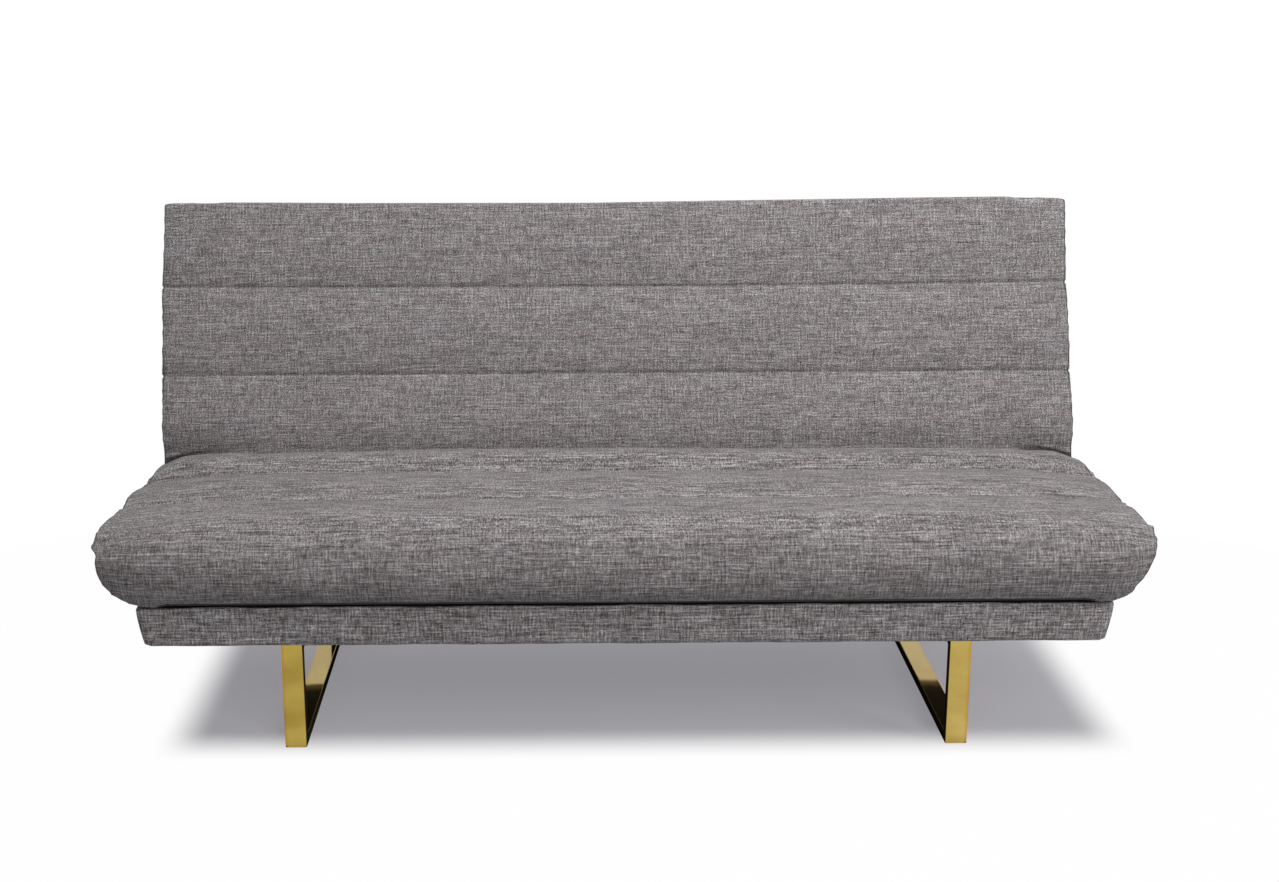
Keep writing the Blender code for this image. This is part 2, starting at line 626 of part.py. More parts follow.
def padded_body(chain, reach, seam_axis, fall, fall_low, fall_high):
    """A cushion: a section carried along X, with drawn-in ends and a flat underside.

    reach gives the half width from the point's second value (seam_axis 1) or first (0).
    Between fall_low and fall_high the section sinks more and more towards the ends.
    """
    stations = [-share for share in reversed(STATION_SHARES[1:])] + list(STATION_SHARES)
    body = bmesh.new()
    rows = []
    for station in stations:
        pinch = 1 - (1 - END_PINCH_SHARE) * abs(station) ** END_PINCH_FULLNESS
        sink = fall * abs(station) ** END_FALL_FULLNESS
        row = []
        for a, b, crown in chain:
            high_share = min(1, max(0, (b - fall_low) / (fall_high - fall_low)))
            half = reach((a, b)[seam_axis])
            row.append(body.verts.new((station * half, a, b + crown * pinch - sink * high_share)))
        rows.append(row)
    for first, second in zip(rows, rows[1:]):
        for k in range(len(chain) - 1):
            body.faces.new((first[k], first[k + 1], second[k + 1], second[k]))
    floors = [end_cap(body, rows[0], -1, chain, reach, seam_axis),
              end_cap(body, rows[-1], 1, chain, reach, seam_axis)]
    left, right = floors
    front = [row[0] for row in rows]
    rear = [row[-1] for row in rows]
    body.faces.new(left[:-1] + rear + list(reversed(right[1:-1])) + list(reversed(front))[:-1])
    return body


def end_cap(body, row, side, chain, reach, seam_axis):
    """Closes one end of a cushion down to its flat underside, and returns the lowest row."""
    lengths = [0.0]
    for here, there in zip(chain, chain[1:]):
        lengths.append(lengths[-1] + math.dist(here[:2], there[:2]))
    foot, head = row[0].co.yz, row[-1].co.yz
    grid = [row]
    for level in range(1, END_ROWS + 1):
        share = level / END_ROWS
        line = [row[0]]
        for k in range(1, len(row) - 1):
            vertex = row[k]
            along = lengths[k] / lengths[-1]
            a = foot[0] + (head[0] - foot[0]) * along
            b = foot[1] + (head[1] - foot[1]) * along
            a = vertex.co.y + (a - vertex.co.y) * share
            b = vertex.co.z + (b - vertex.co.z) * share
            line.append(body.verts.new((side * reach((a, b)[seam_axis]), a, b)))
        line.append(row[-1])
        grid.append(line)
    for upper, lower in zip(grid, grid[1:]):
        for k in range(len(row) - 1):
            corners = []
            for vertex in (upper[k], upper[k + 1], lower[k + 1], lower[k]):
                if vertex not in corners:
                    corners.append(vertex)
            if len(corners) > 2:
                body.faces.new(corners)
    return grid[-1]


def make_seat(axis):
    """The seat: tube frame, plywood deck, channelled cushion with a pocket, and dust cloth."""
    cloth_low = SEAT_BOTTOM + GAP
    frame_low = cloth_low + CLOTH_THICKNESS + GAP
    tube_z = frame_low + FRAME_TUBE / 2
    deck_low = frame_low + FRAME_TUBE + GAP
    pocket_top = deck_low + DECK_THICKNESS + GAP
    front = SEAT_NOSE + SEAT_POCKET_FRONT_WALL
    rear = SEAT_REAR - SEAT_POCKET_REAR_WALL
    half = SEAT_POCKET_HALF_WIDTH

    shape = padded_body(seat_chain(), seat_reach, 1, SEAT_END_FALL,
                        SEAT_BOTTOM + SEAT_NOSE_HEIGHT, SEAT_TOP)
    cushion = add_object("seat_cushion", shape, FABRIC, axis, SEAM_ANGLE)
    cut(cushion, box_body((-half, front, SEAT_BOTTOM - OVERRUN), (half, rear, pocket_top)),
        "seat_pocket", axis)
    for side, word in ((-1, "left"), (1, "right")):
        x = sided((SEAT_ARM_X[0] - RUNNING_GAP, SEAT_ARM_X[1] + RUNNING_GAP), side)
        cut(cushion, box_body((x[0], rear - OVERRUN, SEAT_BOTTOM - OVERRUN),
                              (x[1], SEAT_REAR + OVERRUN, -SEAT_ARM_HUB_RADIUS)),
            "seat_arm_slot_" + word, axis)

    inset = GAP
    add_object("seat_under_cloth",
               box_body((-half + inset, front + inset, cloth_low),
                        (half - inset, rear - inset, cloth_low + CLOTH_THICKNESS)), DARK_CLOTH, axis)
    add_object("seat_deck",
               box_body((-half + inset, front + inset, deck_low),
                        (half - inset, rear - inset, deck_low + DECK_THICKNESS)), WOOD, axis)
    tube_front = front + inset + FRAME_TUBE / 2
    tube_rear = rear - inset - FRAME_TUBE / 2
    add_object("seat_front_tube",
               square_tube_body((-half + inset, tube_front, tube_z), (half - inset, tube_front, tube_z)),
               STEEL, axis)
    rear_half = SEAT_TUBE_X - FRAME_TUBE / 2 - GAP
    add_object("seat_rear_tube",
               square_tube_body((-rear_half, tube_rear, tube_z), (rear_half, tube_rear, tube_z)),
               STEEL, axis)
    side_start = tube_front + FRAME_TUBE / 2 + GAP
    for side, word in ((-1, "left"), (1, "right")):
        add_object("seat_side_tube_" + word,
                   square_tube_body((side * SEAT_TUBE_X, side_start, tube_z),
                                    (side * SEAT_TUBE_X, rear - inset, tube_z)), STEEL, axis)
        make_seat_arm(side, word, axis, frame_low)
    add_object("seat_middle_tube",
               square_tube_body((0, side_start, tube_z),
                                (0, tube_rear - FRAME_TUBE / 2 - GAP, tube_z)), STEEL, axis)


def hub_point(radius, angle):
    """The point at a distance from the hub's axis, in the direction of an angle."""
    return (radius * math.cos(angle), radius * math.sin(angle))


def make_seat_arm(side, word, axis, frame_low):
    """A flat plate from the hinge axis down and forwards along the seat's side tube."""
    radius = SEAT_ARM_HUB_RADIUS
    neck = SEAT_REAR - SEAT_POCKET_REAR_WALL
    outline = arc((0, 0), radius, *SEAT_ARM_HUB_ARC, HUB_SEGMENTS // 2)
    outline += [(neck, frame_low + FRAME_TUBE - GAP),
                (-SEAT_ARM_REACH, frame_low + FRAME_TUBE - GAP),
                (-SEAT_ARM_REACH, frame_low),
                (-BRACKET_FOOT_HALF_WIDTH, frame_low)]
    x = sided(SEAT_ARM_X, side)
    arm = add_object("seat_arm_" + word, extruded_body(outline, *x), STEEL, axis)
    cut(arm, hole_body(*x, PIVOT_RADIUS + BUSH_WALL + 2 * GAP), "seat_arm_bore_" + word, axis)


# Back

def make_back(axis):
    """The back: tube frame, plywood deck, channelled cushion and the rear panel that closes it."""
    panel_rear = BACK_REAR - GAP
    panel_front = panel_rear - REAR_PANEL_THICKNESS
    tube_rear = panel_front - GAP
    tube_n = tube_rear - FRAME_TUBE / 2
    deck_rear = tube_rear - FRAME_TUBE - GAP
    pocket_n = deck_rear - DECK_THICKNESS - GAP
    half = BACK_POCKET_HALF_WIDTH
    low = BACK_POCKET_START
    high = BACK_LENGTH - BACK_POCKET_TOP_WALL

    shape = padded_body(back_chain(), back_reach, 0, BACK_END_FALL,
                        BACK_LENGTH - BACK_FALL_REACH, BACK_LENGTH)
    cushion = add_object("back_cushion", shape, FABRIC, axis, SEAM_ANGLE)
    cut(cushion, box_body((-half, pocket_n, low), (half, BACK_REAR + OVERRUN, high)),
        "back_pocket", axis)
    for side, word in ((-1, "left"), (1, "right")):
        x = sided(SLOT_X, side)
        cut(cushion, box_body((x[0], BACK_FRONT - OVERRUN, BACK_FRONT - OVERRUN),
                              (x[1], BACK_REAR + OVERRUN, BACK_NOTCH_TOP)), "hinge_notch_" + word, axis)
        x = sided((BACK_ARM_X[0] - RUNNING_GAP, BACK_ARM_X[1] + RUNNING_GAP), side)
        cut(cushion, box_body((x[0], BACK_ARM_SLOT_FRONT, BACK_NOTCH_TOP - OVERRUN),
                              (x[1], BACK_REAR + OVERRUN, low + OVERRUN)),
            "back_arm_slot_" + word, axis)

    add_object("back_rear_panel",
               box_body((-half + GAP, panel_front, low + GAP), (half - GAP, panel_rear, high - GAP)),
               FABRIC, axis)
    add_object("back_deck",
               box_body((-half + GAP, deck_rear - DECK_THICKNESS, low + GAP),
                        (half - GAP, deck_rear, high - GAP)), WOOD, axis)
    tube_low = low + GAP + FRAME_TUBE / 2
    tube_high = high - GAP - FRAME_TUBE / 2
    lower_half = BACK_TUBE_X - FRAME_TUBE / 2 - GAP
    add_object("back_top_tube",
               square_tube_body((-half + GAP, tube_n, tube_high), (half - GAP, tube_n, tube_high)),
               STEEL, axis)
    add_object("back_lower_tube",
               square_tube_body((-lower_half, tube_n, tube_low), (lower_half, tube_n, tube_low)),
               STEEL, axis)
    side_top = tube_high - FRAME_TUBE / 2 - GAP
    for side, word in ((-1, "left"), (1, "right")):
        add_object("back_side_tube_" + word,
                   square_tube_body((side * BACK_TUBE_X, tube_n, low + GAP),
                                    (side * BACK_TUBE_X, tube_n, side_top)), STEEL, axis)
        make_back_arm(side, word, axis, tube_rear)
    add_object("back_middle_tube",
               square_tube_body((0, tube_n, tube_low + FRAME_TUBE / 2 + GAP), (0, tube_n, side_top)),
               STEEL, axis)


def pawl_pin_place():
    return hub_point(PAWL_PIN_DISTANCE, PAWL_PIN_ANGLE)


def make_back_arm(side, word, axis, tube_rear):
    """A flat plate from the hinge axis, past the pawl's pin, up the back's side tube."""
    radius = BACK_ARM_HUB_RADIUS
    pin = pawl_pin_place()
    boss = PAWL_PIN_RADIUS + BUSH_WALL
    front = tube_rear - FRAME_TUBE
    outline = arc((0, 0), radius, *BACK_ARM_HUB_ARC, HUB_SEGMENTS // 2)
    outline += [(pin[0] + boss, pin[1] - boss),
                (tube_rear, BACK_POCKET_START + GAP),
                (tube_rear, BACK_ARM_REACH),
                (front, BACK_ARM_REACH),
                (front, BACK_POCKET_START + GAP)]
    x = sided(BACK_ARM_X, side)
    arm = add_object("back_arm_" + word, extruded_body(outline, *x), STEEL, axis)
    cut(arm, hole_body(*x, PIVOT_RADIUS + BUSH_WALL + 2 * GAP), "back_arm_bore_" + word, axis)
    cut(arm, hole_body(*x, PAWL_PIN_RADIUS + GAP, pin, BOLT_SEGMENTS), "pawl_pin_bore_" + word, axis)

    head = BACK_ARM_X[0] - GAP
    profile = ((head - PAWL_PIN_HEAD_HEIGHT, 0), (head - PAWL_PIN_HEAD_HEIGHT, PAWL_PIN_HEAD_RADIUS),
               (head, PAWL_PIN_HEAD_RADIUS), (head, PAWL_PIN_RADIUS), (PAWL_X[1], PAWL_PIN_RADIUS),
               (PAWL_X[1], 0))
    add_object("pawl_pin_" + word,
               turned_body(flip_profile(profile, side), BOLT_SEGMENTS, centre=pin), ZINC, axis,
               TURNED_ANGLE)


def make_pawl(side, word, axis, parent):
    """The catch: a boss on its pin and a finger whose corner drops into a notch."""
    pin = Vector(pawl_pin_place())
    tip = Vector(hub_point(RATCHET_RADIUS + PAWL_TIP_CLEARANCE, PAWL_TIP_ANGLE))
    along = (tip - pin).normalized()
    inward = Vector((along.y, -along.x))
    if inward.dot(tip) > 0:
        inward = -inward
    length = (tip - pin).length
    boss = PAWL_BOSS_RADIUS
    heading = math.atan2(along.y, along.x)
    turn = math.pi / 2 if inward.dot(Vector((-along.y, along.x))) > 0 else -math.pi / 2
    outline = arc((0, 0), boss, heading + turn, heading + 3 * turn, BOLT_SEGMENTS // 2)
    for along_share, boss_share in PAWL_FINGER_SHARES:
        outline.append(tuple(along * (length * along_share) + inward * (boss * boss_share)))
    x = sided(PAWL_X, side)
    pawl = add_object("pawl_" + word, extruded_body(outline, *x), ZINC, axis)
    cut(pawl, hole_body(*x, PAWL_PIN_RADIUS + GAP, (0, 0), BOLT_SEGMENTS), "pawl_bore_" + word, axis)

    back = pin - inward * (boss + GAP)
    near = [back + along * (length * share) for share in SPRING_LEAF_SHARES]
    foot = near[-1] + (Vector((0, 1)) - inward).normalized() * boss
    inner = near + [foot]
    shift = -inward * SPRING_THICKNESS
    outer = [point + shift for point in reversed(inner)]
    middle = (PAWL_X[0] + PAWL_X[1]) / 2
    width = sided((BACK_ARM_X[1] + GAP, middle + SPRING_WIDTH / 2), side)
    add_object("pawl_spring_" + word,
               extruded_body([tuple(point) for point in inner + outer], *width), STEEL, parent)


# Hinge brackets on the base

def bracket_screw_places():
    return (AXIS_Y - BRACKET_SCREW_SPACING / 2, AXIS_Y + BRACKET_SCREW_SPACING / 2)


def bracket_screw_height():
    return BASE_TOP - BASE_HEIGHT / 2


def ratchet_outline():
    """The toothed disc: a notch for sitting, one for lounging and one for lying flat."""
    start, floor_end, end = (math.radians(value) - BACK_RECLINE for value in NOTCH_ANGLES_DEG)
    floor_radius = RATCHET_RADIUS - NOTCH_DEPTH
    points = []
    for turn in (FLAT_ANGLE, LOUNGE_ANGLE, 0):
        points.append(hub_point(RATCHET_RADIUS, start + turn))
        points.append(hub_point(floor_radius, start + turn))
        points.append(hub_point(floor_radius, floor_end + turn))
        points.append(hub_point(RATCHET_RADIUS, end + turn))
    plain = arc((0, 0), RATCHET_RADIUS, end, start + FLAT_ANGLE + 2 * math.pi, HUB_SEGMENTS // 2)
    return points + plain[1:-1]


def make_hinge(side, word):
    """Bracket with its ratchet disc, screws into the side rail, pivot bolt, nut and bush."""
    neck = BRACKET_HUB_RADIUS
    shoulder = BASE_TOP - AXIS_Z - GAP
    foot = shoulder - BRACKET_FOOT_HEIGHT
    wide = BRACKET_FOOT_HALF_WIDTH
    outline = arc((AXIS_Y, AXIS_Z), BRACKET_HUB_RADIUS, 0, math.pi, HUB_SEGMENTS // 2)
    for y, z in ((-neck, shoulder), (-wide, shoulder - neck / 2), (-wide, foot), (wide, foot),
                 (wide, shoulder - neck / 2), (neck, shoulder)):
        outline.append((AXIS_Y + y, AXIS_Z + z))
    x = sided(BRACKET_X, side)
    bracket = add_object("hinge_bracket_" + word, extruded_body(outline, *x), STEEL)
    disc = [(AXIS_Y + y, AXIS_Z + z) for y, z in ratchet_outline()]
    inset = BRACKET_THICKNESS / 2
    disc_x = sided((RATCHET_X[0], RATCHET_X[1] + inset), side)
    join_on(bracket, extruded_body(disc, *disc_x), "ratchet_disc_" + word)
    bore = sided((RATCHET_X[0], BRACKET_X[1]), side)
    cut(bracket, hole_body(*bore, PIVOT_RADIUS + GAP, (AXIS_Y, AXIS_Z)), "bracket_bore_" + word)

    tip = NUT_X[0] - PIVOT_TIP
    head = BRACKET_X[1] + GAP
    profile = ((tip, 0), (tip, PIVOT_RADIUS), (head, PIVOT_RADIUS), (head, PIVOT_HEAD_RADIUS),
               (head + PIVOT_HEAD_HEIGHT, PIVOT_HEAD_RADIUS), (head + PIVOT_HEAD_HEIGHT, 0))
    add_object("pivot_bolt_" + word,
               turned_body(flip_profile(profile, side), HUB_SEGMENTS, centre=(AXIS_Y, AXIS_Z)),
               ZINC, smooth=TURNED_ANGLE)
    nut_radius = NUT_FLATS / 2 / math.cos(math.pi / 6)
    nut = add_object("pivot_nut_" + word,
                     extruded_body([(AXIS_Y + a, AXIS_Z + b)
                                    for a, b in arc((0, 0), nut_radius, 0, math.pi * 5 / 3, 5)],
                                   *sided(NUT_X, side)), ZINC)
    cut(nut, hole_body(*sided(NUT_X, side), PIVOT_RADIUS + GAP, (AXIS_Y, AXIS_Z)), "nut_bore_" + word)
    inner = PIVOT_RADIUS + GAP
    outer = PIVOT_RADIUS + BUSH_WALL + GAP
    ring = ((SEAT_ARM_X[0], inner), (SEAT_ARM_X[0], outer), (BACK_ARM_X[1], outer),
            (BACK_ARM_X[1], inner))
    add_object("pivot_bush_" + word,
               turned_body(flip_profile(ring, side), HUB_SEGMENTS, centre=(AXIS_Y, AXIS_Z)),
               PLASTIC, smooth=TURNED_ANGLE)

    seat_x = BRACKET_X[0] - GAP
    for place, y in zip(("front", "rear"), bracket_screw_places()):
        centre = (y, bracket_screw_height())
        cut(bracket, hole_body(*x, SCREW_RADIUS + GAP, centre, BOLT_SEGMENTS),
            "screw_bore_%s_%s" % (place, word))
        profile = ((seat_x - SCREW_HEAD_HEIGHT, 0),
                   (seat_x - SCREW_HEAD_HEIGHT, SCREW_HEAD_RADIUS - SCREW_RADIUS / 2),
                   (seat_x - SCREW_HEAD_HEIGHT / 2, SCREW_HEAD_RADIUS), (seat_x, SCREW_HEAD_RADIUS),
                   (seat_x, SCREW_RADIUS), (seat_x + SCREW_LENGTH, SCREW_RADIUS),
                   (seat_x + SCREW_LENGTH, 0))
        add_object("bracket_screw_%s_%s" % (place, word),
                   turned_body(flip_profile(profile, side), BOLT_SEGMENTS, centre=centre), ZINC,
                   smooth=TURNED_ANGLE)


def main():
    clear_scene()
    make_base_frame()
    make_base_band()
    make_base_cloth()
    seat_axis = add_axis("seat_axis", (0, AXIS_Y, AXIS_Z))
    back_axis = add_axis("back_axis", (0, AXIS_Y, AXIS_Z), -BACK_RECLINE)
    make_seat(seat_axis)
    make_back(back_axis)
    pin = pawl_pin_place()
    for side, word in ((-1, "left"), (1, "right")):
        make_leg_loop(side, word)
        make_leg_bolts_and_glides(side, word)
        make_hinge(side, word)
        pawl_axis = add_axis("pawl_axis_" + word, (0, *pin), parent=back_axis)
        make_pawl(side, word, pawl_axis, back_axis)


main()
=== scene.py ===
# %% [markdown]
# # A three-position sofa bed, dressed for its portrait
# The solid model already holds every part of the sofa: the base on its two brass loops, the seat and the
# back with their steel frames, and the hinges between them. What it lacks is the look. This lesson gives
# the soft parts their real form, every surface its material, and the scene its light and camera.

# %% Load the solid model
import json
import math

import bmesh
import bpy
import numpy as np
from mathutils import Matrix, Vector


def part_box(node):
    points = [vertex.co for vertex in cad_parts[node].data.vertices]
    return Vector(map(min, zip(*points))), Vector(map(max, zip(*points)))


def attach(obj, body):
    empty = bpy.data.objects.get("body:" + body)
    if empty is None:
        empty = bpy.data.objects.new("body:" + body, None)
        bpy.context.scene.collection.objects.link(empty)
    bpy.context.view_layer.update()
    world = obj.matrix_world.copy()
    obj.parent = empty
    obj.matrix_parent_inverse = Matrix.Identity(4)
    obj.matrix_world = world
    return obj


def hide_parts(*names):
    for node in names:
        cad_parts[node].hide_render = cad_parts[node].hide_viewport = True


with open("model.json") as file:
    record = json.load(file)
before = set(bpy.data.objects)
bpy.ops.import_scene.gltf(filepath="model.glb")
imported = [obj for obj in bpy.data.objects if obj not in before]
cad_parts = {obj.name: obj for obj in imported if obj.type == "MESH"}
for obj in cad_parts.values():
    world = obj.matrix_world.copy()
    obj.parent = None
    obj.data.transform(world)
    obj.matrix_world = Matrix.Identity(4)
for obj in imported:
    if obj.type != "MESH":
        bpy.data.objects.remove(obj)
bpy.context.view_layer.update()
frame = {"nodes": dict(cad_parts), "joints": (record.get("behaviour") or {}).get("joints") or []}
nodes = frame["nodes"]

# %% [markdown]
# ## The camera
# The photograph was taken from the front at about standing height, a little to the left of the middle,
# with a lens of about 50 mm on a 36 mm wide frame. The picture was cropped afterwards, so its optical
# centre isn't its middle, and the lens is shifted a little to match that.

# %% Place the camera
PICTURE_WIDE, PICTURE_HIGH = 1279, 882
FOCAL_PIXELS = 1798.6
CENTRE_PIXEL = (563.4, 451.2)
EYE = Vector((-0.1125, -3.4416, 1.3997))
PITCH, ROLL = 0.2640, -0.0065

ahead = Vector((0, math.cos(PITCH), -math.sin(PITCH)))
level = Vector((1, 0, 0))
upright = level.cross(ahead)
across = level * math.cos(ROLL) + upright * math.sin(ROLL)
above = upright * math.cos(ROLL) - level * math.sin(ROLL)

lens = bpy.data.cameras.new("portrait_camera")
lens.sensor_width = 36
lens.lens = FOCAL_PIXELS / PICTURE_WIDE * lens.sensor_width
lens.shift_x = (PICTURE_WIDE / 2 - CENTRE_PIXEL[0]) / PICTURE_WIDE
lens.shift_y = (CENTRE_PIXEL[1] - PICTURE_HIGH / 2) / PICTURE_WIDE
camera = bpy.data.objects.new("portrait_camera", lens)
bpy.context.scene.collection.objects.link(camera)
camera.matrix_world = Matrix((across, above, -ahead)).transposed().to_4x4()
camera.matrix_world.translation = EYE
bpy.context.scene.camera = camera
bpy.context.scene.view_settings.view_transform = "Standard"
print("lens %.1f mm" % lens.lens, "shift %.4f %.4f" % (lens.shift_x, lens.shift_y))

# %% [markdown]
# ## Small helpers
# An operator works on whatever is selected, so each step first selects one piece alone. Materials are
# built from nodes, and a short helper adds a node and sets its sockets in one line.


# %% Select one piece
def only(piece):
    bpy.ops.object.select_all(action="DESELECT")
    piece.select_set(True)
    bpy.context.view_layer.objects.active = piece


# %% Vertex places and normals as arrays
def places(piece):
    values = np.empty(len(piece.data.vertices) * 3)
    piece.data.vertices.foreach_get("co", values)
    return values.reshape(-1, 3)


def put_places(piece, values):
    piece.data.vertices.foreach_set("co", np.ascontiguousarray(values, dtype=np.float32).ravel())
    piece.data.update()


def normals(piece):
    values = np.empty(len(piece.data.vertices) * 3)
    piece.data.vertices.foreach_get("normal", values)
    return values.reshape(-1, 3)


# %% Start a material
def new_material(name, colour, roughness, metallic=0.0):
    material = bpy.data.materials.new(name)
    material.use_nodes = True
    material.diffuse_color = (*colour, 1)
    shader = material.node_tree.nodes["Principled BSDF"]
    shader.inputs["Base Color"].default_value = (*colour, 1)
    shader.inputs["Roughness"].default_value = roughness
    shader.inputs["Metallic"].default_value = metallic
    return material, shader


def node(material, kind, settings=None, **sockets):
    made = material.node_tree.nodes.new(kind)
    for key, value in (settings or {}).items():
        setattr(made, key, value)
    for key, value in sockets.items():
        socket = made.inputs[int(key[1:])] if key[1:].isdigit() else made.inputs[key.replace("_", " ")]
        if isinstance(value, bpy.types.NodeSocket):
            material.node_tree.links.new(value, socket)
        else:
            socket.default_value = value
    return made


def maths(material, operation, a, b=0.0, c=0.0):
    return node(material, "ShaderNodeMath", {"operation": operation}, _0=a, _1=b, _2=c).outputs[0]


def ranged(material, value, low, high, start=0.0, end=1.0, smooth=True):
    """Runs from start to end while the value runs from low to high, and keeps still beyond them."""
    kind = {"interpolation_type": "SMOOTHSTEP" if smooth else "LINEAR"}
    return node(material, "ShaderNodeMapRange", kind, Value=value, From_Min=low, From_Max=high,
                To_Min=start, To_Max=end).outputs[0]


def blend(material, share, first, second, kind="MULTIPLY"):
    return node(material, "ShaderNodeMix", {"data_type": "RGBA", "blend_type": kind},
                _0=share, _6=first, _7=second).outputs[2]


def own_place(material):
    return node(material, "ShaderNodeTexCoord").outputs["Object"]


def ramp(material, fac, stops):
    made = node(material, "ShaderNodeValToRGB", Fac=fac)
    while len(made.color_ramp.elements) < len(stops):
        made.color_ramp.elements.new(0.5)
    for element, (place, colour) in zip(made.color_ramp.elements, stops):
        element.position = place
        element.color = (*colour, 1)
    return made.outputs["Color"]


def stretched(material, vector, scale, size=1.0, detail=2.0, shift=0.0, rough=0.5):
    """Noise on coordinates stretched by scale, a number from 0 to 1 that is mostly near the middle."""
    moved = node(material, "ShaderNodeMapping", Vector=vector, Scale=scale, Location=(shift, shift, shift))
    made = node(material, "ShaderNodeTexNoise", Vector=moved.outputs[0], Scale=size, Detail=detail,
                Roughness=rough)
    return made.outputs["Fac"]


def bump(material, shader, height, strength, distance):
    made = node(material, "ShaderNodeBump", Strength=strength, Distance=distance, Height=height)
    material.node_tree.links.new(made.outputs["Normal"], shader.inputs["Normal"])


def feed(material, output, shader, socket):
    material.node_tree.links.new(output, shader.inputs[socket])


# %% [markdown]
# ## The stage
# A pale floor and plain soft light. The floor is white paint, so it renders white where nothing shades it
# and grey under the sofa. The light that bounces up off it is weaker than white paint would send, or the
# underside of the seat would be far paler than in the photograph. The shadow under the base is partly
# painted: inside a footprint that fades out within ten centimetres of the base, the camera sees the floor's
# real shade with a faint glow added, which lifts it to one even grey. Beyond it the floor turns to plain
# white for the camera and for reflections: most of the way at once, and fully further out, so that the
# picture's background and what the brass mirrors are the same white.

# %% Tell the eye's rays from the light's
def for_the_eye(material):
    """1 for rays from the camera, mirrors and glass, 0 for the rays that carry light."""
    path = node(material, "ShaderNodeLightPath").outputs
    mirrored = maths(material, "MAXIMUM", path["Is Glossy Ray"], path["Is Transmission Ray"])
    return maths(material, "MAXIMUM", path["Is Camera Ray"], mirrored)


# %% Make the floor
bpy.ops.object.select_all(action="DESELECT")
bpy.ops.mesh.primitive_plane_add(size=60, location=(0, 0, 0))
floor = bpy.context.object
floor.name = "floor"

floor_paint = bpy.data.materials.new("floor_white")
floor_paint.use_nodes = True
floor_paint.node_tree.nodes.clear()
paint = node(floor_paint, "ShaderNodeBsdfDiffuse", Color=(0.36, 0.357, 0.36, 1))
matt = node(floor_paint, "ShaderNodeBsdfDiffuse", Color=(0.36, 0.36, 0.37, 1))
glow = node(floor_paint, "ShaderNodeEmission", Color=(1, 1, 1, 1), Strength=1.0)
# painted light: a faint glow that lifts the shade under the sofa to an even grey
lift = node(floor_paint, "ShaderNodeEmission", Color=(0.97, 0.955, 1.04, 1), Strength=0.256)
seen = for_the_eye(floor_paint)
place = own_place(floor_paint)
spot = node(floor_paint, "ShaderNodeMapping", Vector=place, Scale=(0.55, 0.9, 0)).outputs[0]
away = node(floor_paint, "ShaderNodeVectorMath", {"operation": "LENGTH"}, _0=spot).outputs["Value"]
far = ranged(floor_paint, away, 0.75, 1.15)
footprint = node(floor_paint, "ShaderNodeMapping", Vector=place, Location=(-0.035, 0.04, 0)).outputs[0]
apart = node(floor_paint, "ShaderNodeSeparateXYZ", Vector=footprint)
# painted shadow: the footprint under the base where the camera sees the floor's shade; outside it the floor
# turns white
beside = ranged(floor_paint, maths(floor_paint, "ABSOLUTE", apart.outputs["X"]), 0.815, 0.92)
before = ranged(floor_paint, maths(floor_paint, "ABSOLUTE", apart.outputs["Y"]), 0.24, 0.385)
painted_shadow_footprint = maths(floor_paint, "MULTIPLY", maths(floor_paint, "SUBTRACT", 1.0, beside),
                   maths(floor_paint, "SUBTRACT", 1.0, before))
clear = maths(floor_paint, "MULTIPLY", maths(floor_paint, "SUBTRACT", 1.0, painted_shadow_footprint), 0.985)
far = maths(floor_paint, "MAXIMUM", far, clear)
lifted = node(floor_paint, "ShaderNodeAddShader", _0=paint.outputs[0], _1=lift.outputs[0])
near_mix = node(floor_paint, "ShaderNodeMixShader", Fac=seen, _1=matt.outputs[0], _2=lifted.outputs[0])
mixed = node(floor_paint, "ShaderNodeMixShader", Fac=maths(floor_paint, "MULTIPLY", far, seen),
             _1=near_mix.outputs[0], _2=glow.outputs[0])
node(floor_paint, "ShaderNodeOutputMaterial", Surface=mixed.outputs[0])
floor.data.materials.append(floor_paint)
print("floor", floor.dimensions.x, "m wide")

# %% Light the scene
world = bpy.data.worlds.new("plain_white")
bpy.context.scene.world = world
world.use_nodes = True
world.node_tree.nodes.clear()
fill = node(world, "ShaderNodeBackground", Color=(1, 1, 1, 1), Strength=0.16)
white = node(world, "ShaderNodeBackground", Color=(1, 1, 1, 1), Strength=1.0)
choose = node(world, "ShaderNodeMixShader", Fac=for_the_eye(world), _1=fill.outputs[0], _2=white.outputs[0])
node(world, "ShaderNodeOutputWorld", Surface=choose.outputs[0])


def add_lamp(name, place, aim, size, watts):
    light = bpy.data.lights.new(name, "AREA")
    light.shape = "RECTANGLE"
    light.size, light.size_y = size
    light.energy = watts
    lamp = bpy.data.objects.new(name, light)
    bpy.context.scene.collection.objects.link(lamp)
    lamp.location = place
    lamp.rotation_euler = (Vector(aim) - Vector(place)).to_track_quat("-Z", "Y").to_euler()


add_lamp("overhead_softbox", (0.35, -0.7, 3.4), (0.0, -0.05, 0.3), (3.2, 2.0), 63)
add_lamp("front_softbox", (1.6, -4.2, 2.4), (0.0, 0.0, 0.45), (2.4, 2.0), 43)
add_lamp("right_softbox", (3.4, -2.2, 2.4), (0.0, 0.0, 0.45), (1.6, 2.0), 52)
add_lamp("rear_softbox", (-1.3, 3.7, 3.0), (0.0, 0.0, 0.45), (2.4, 1.6), 38)
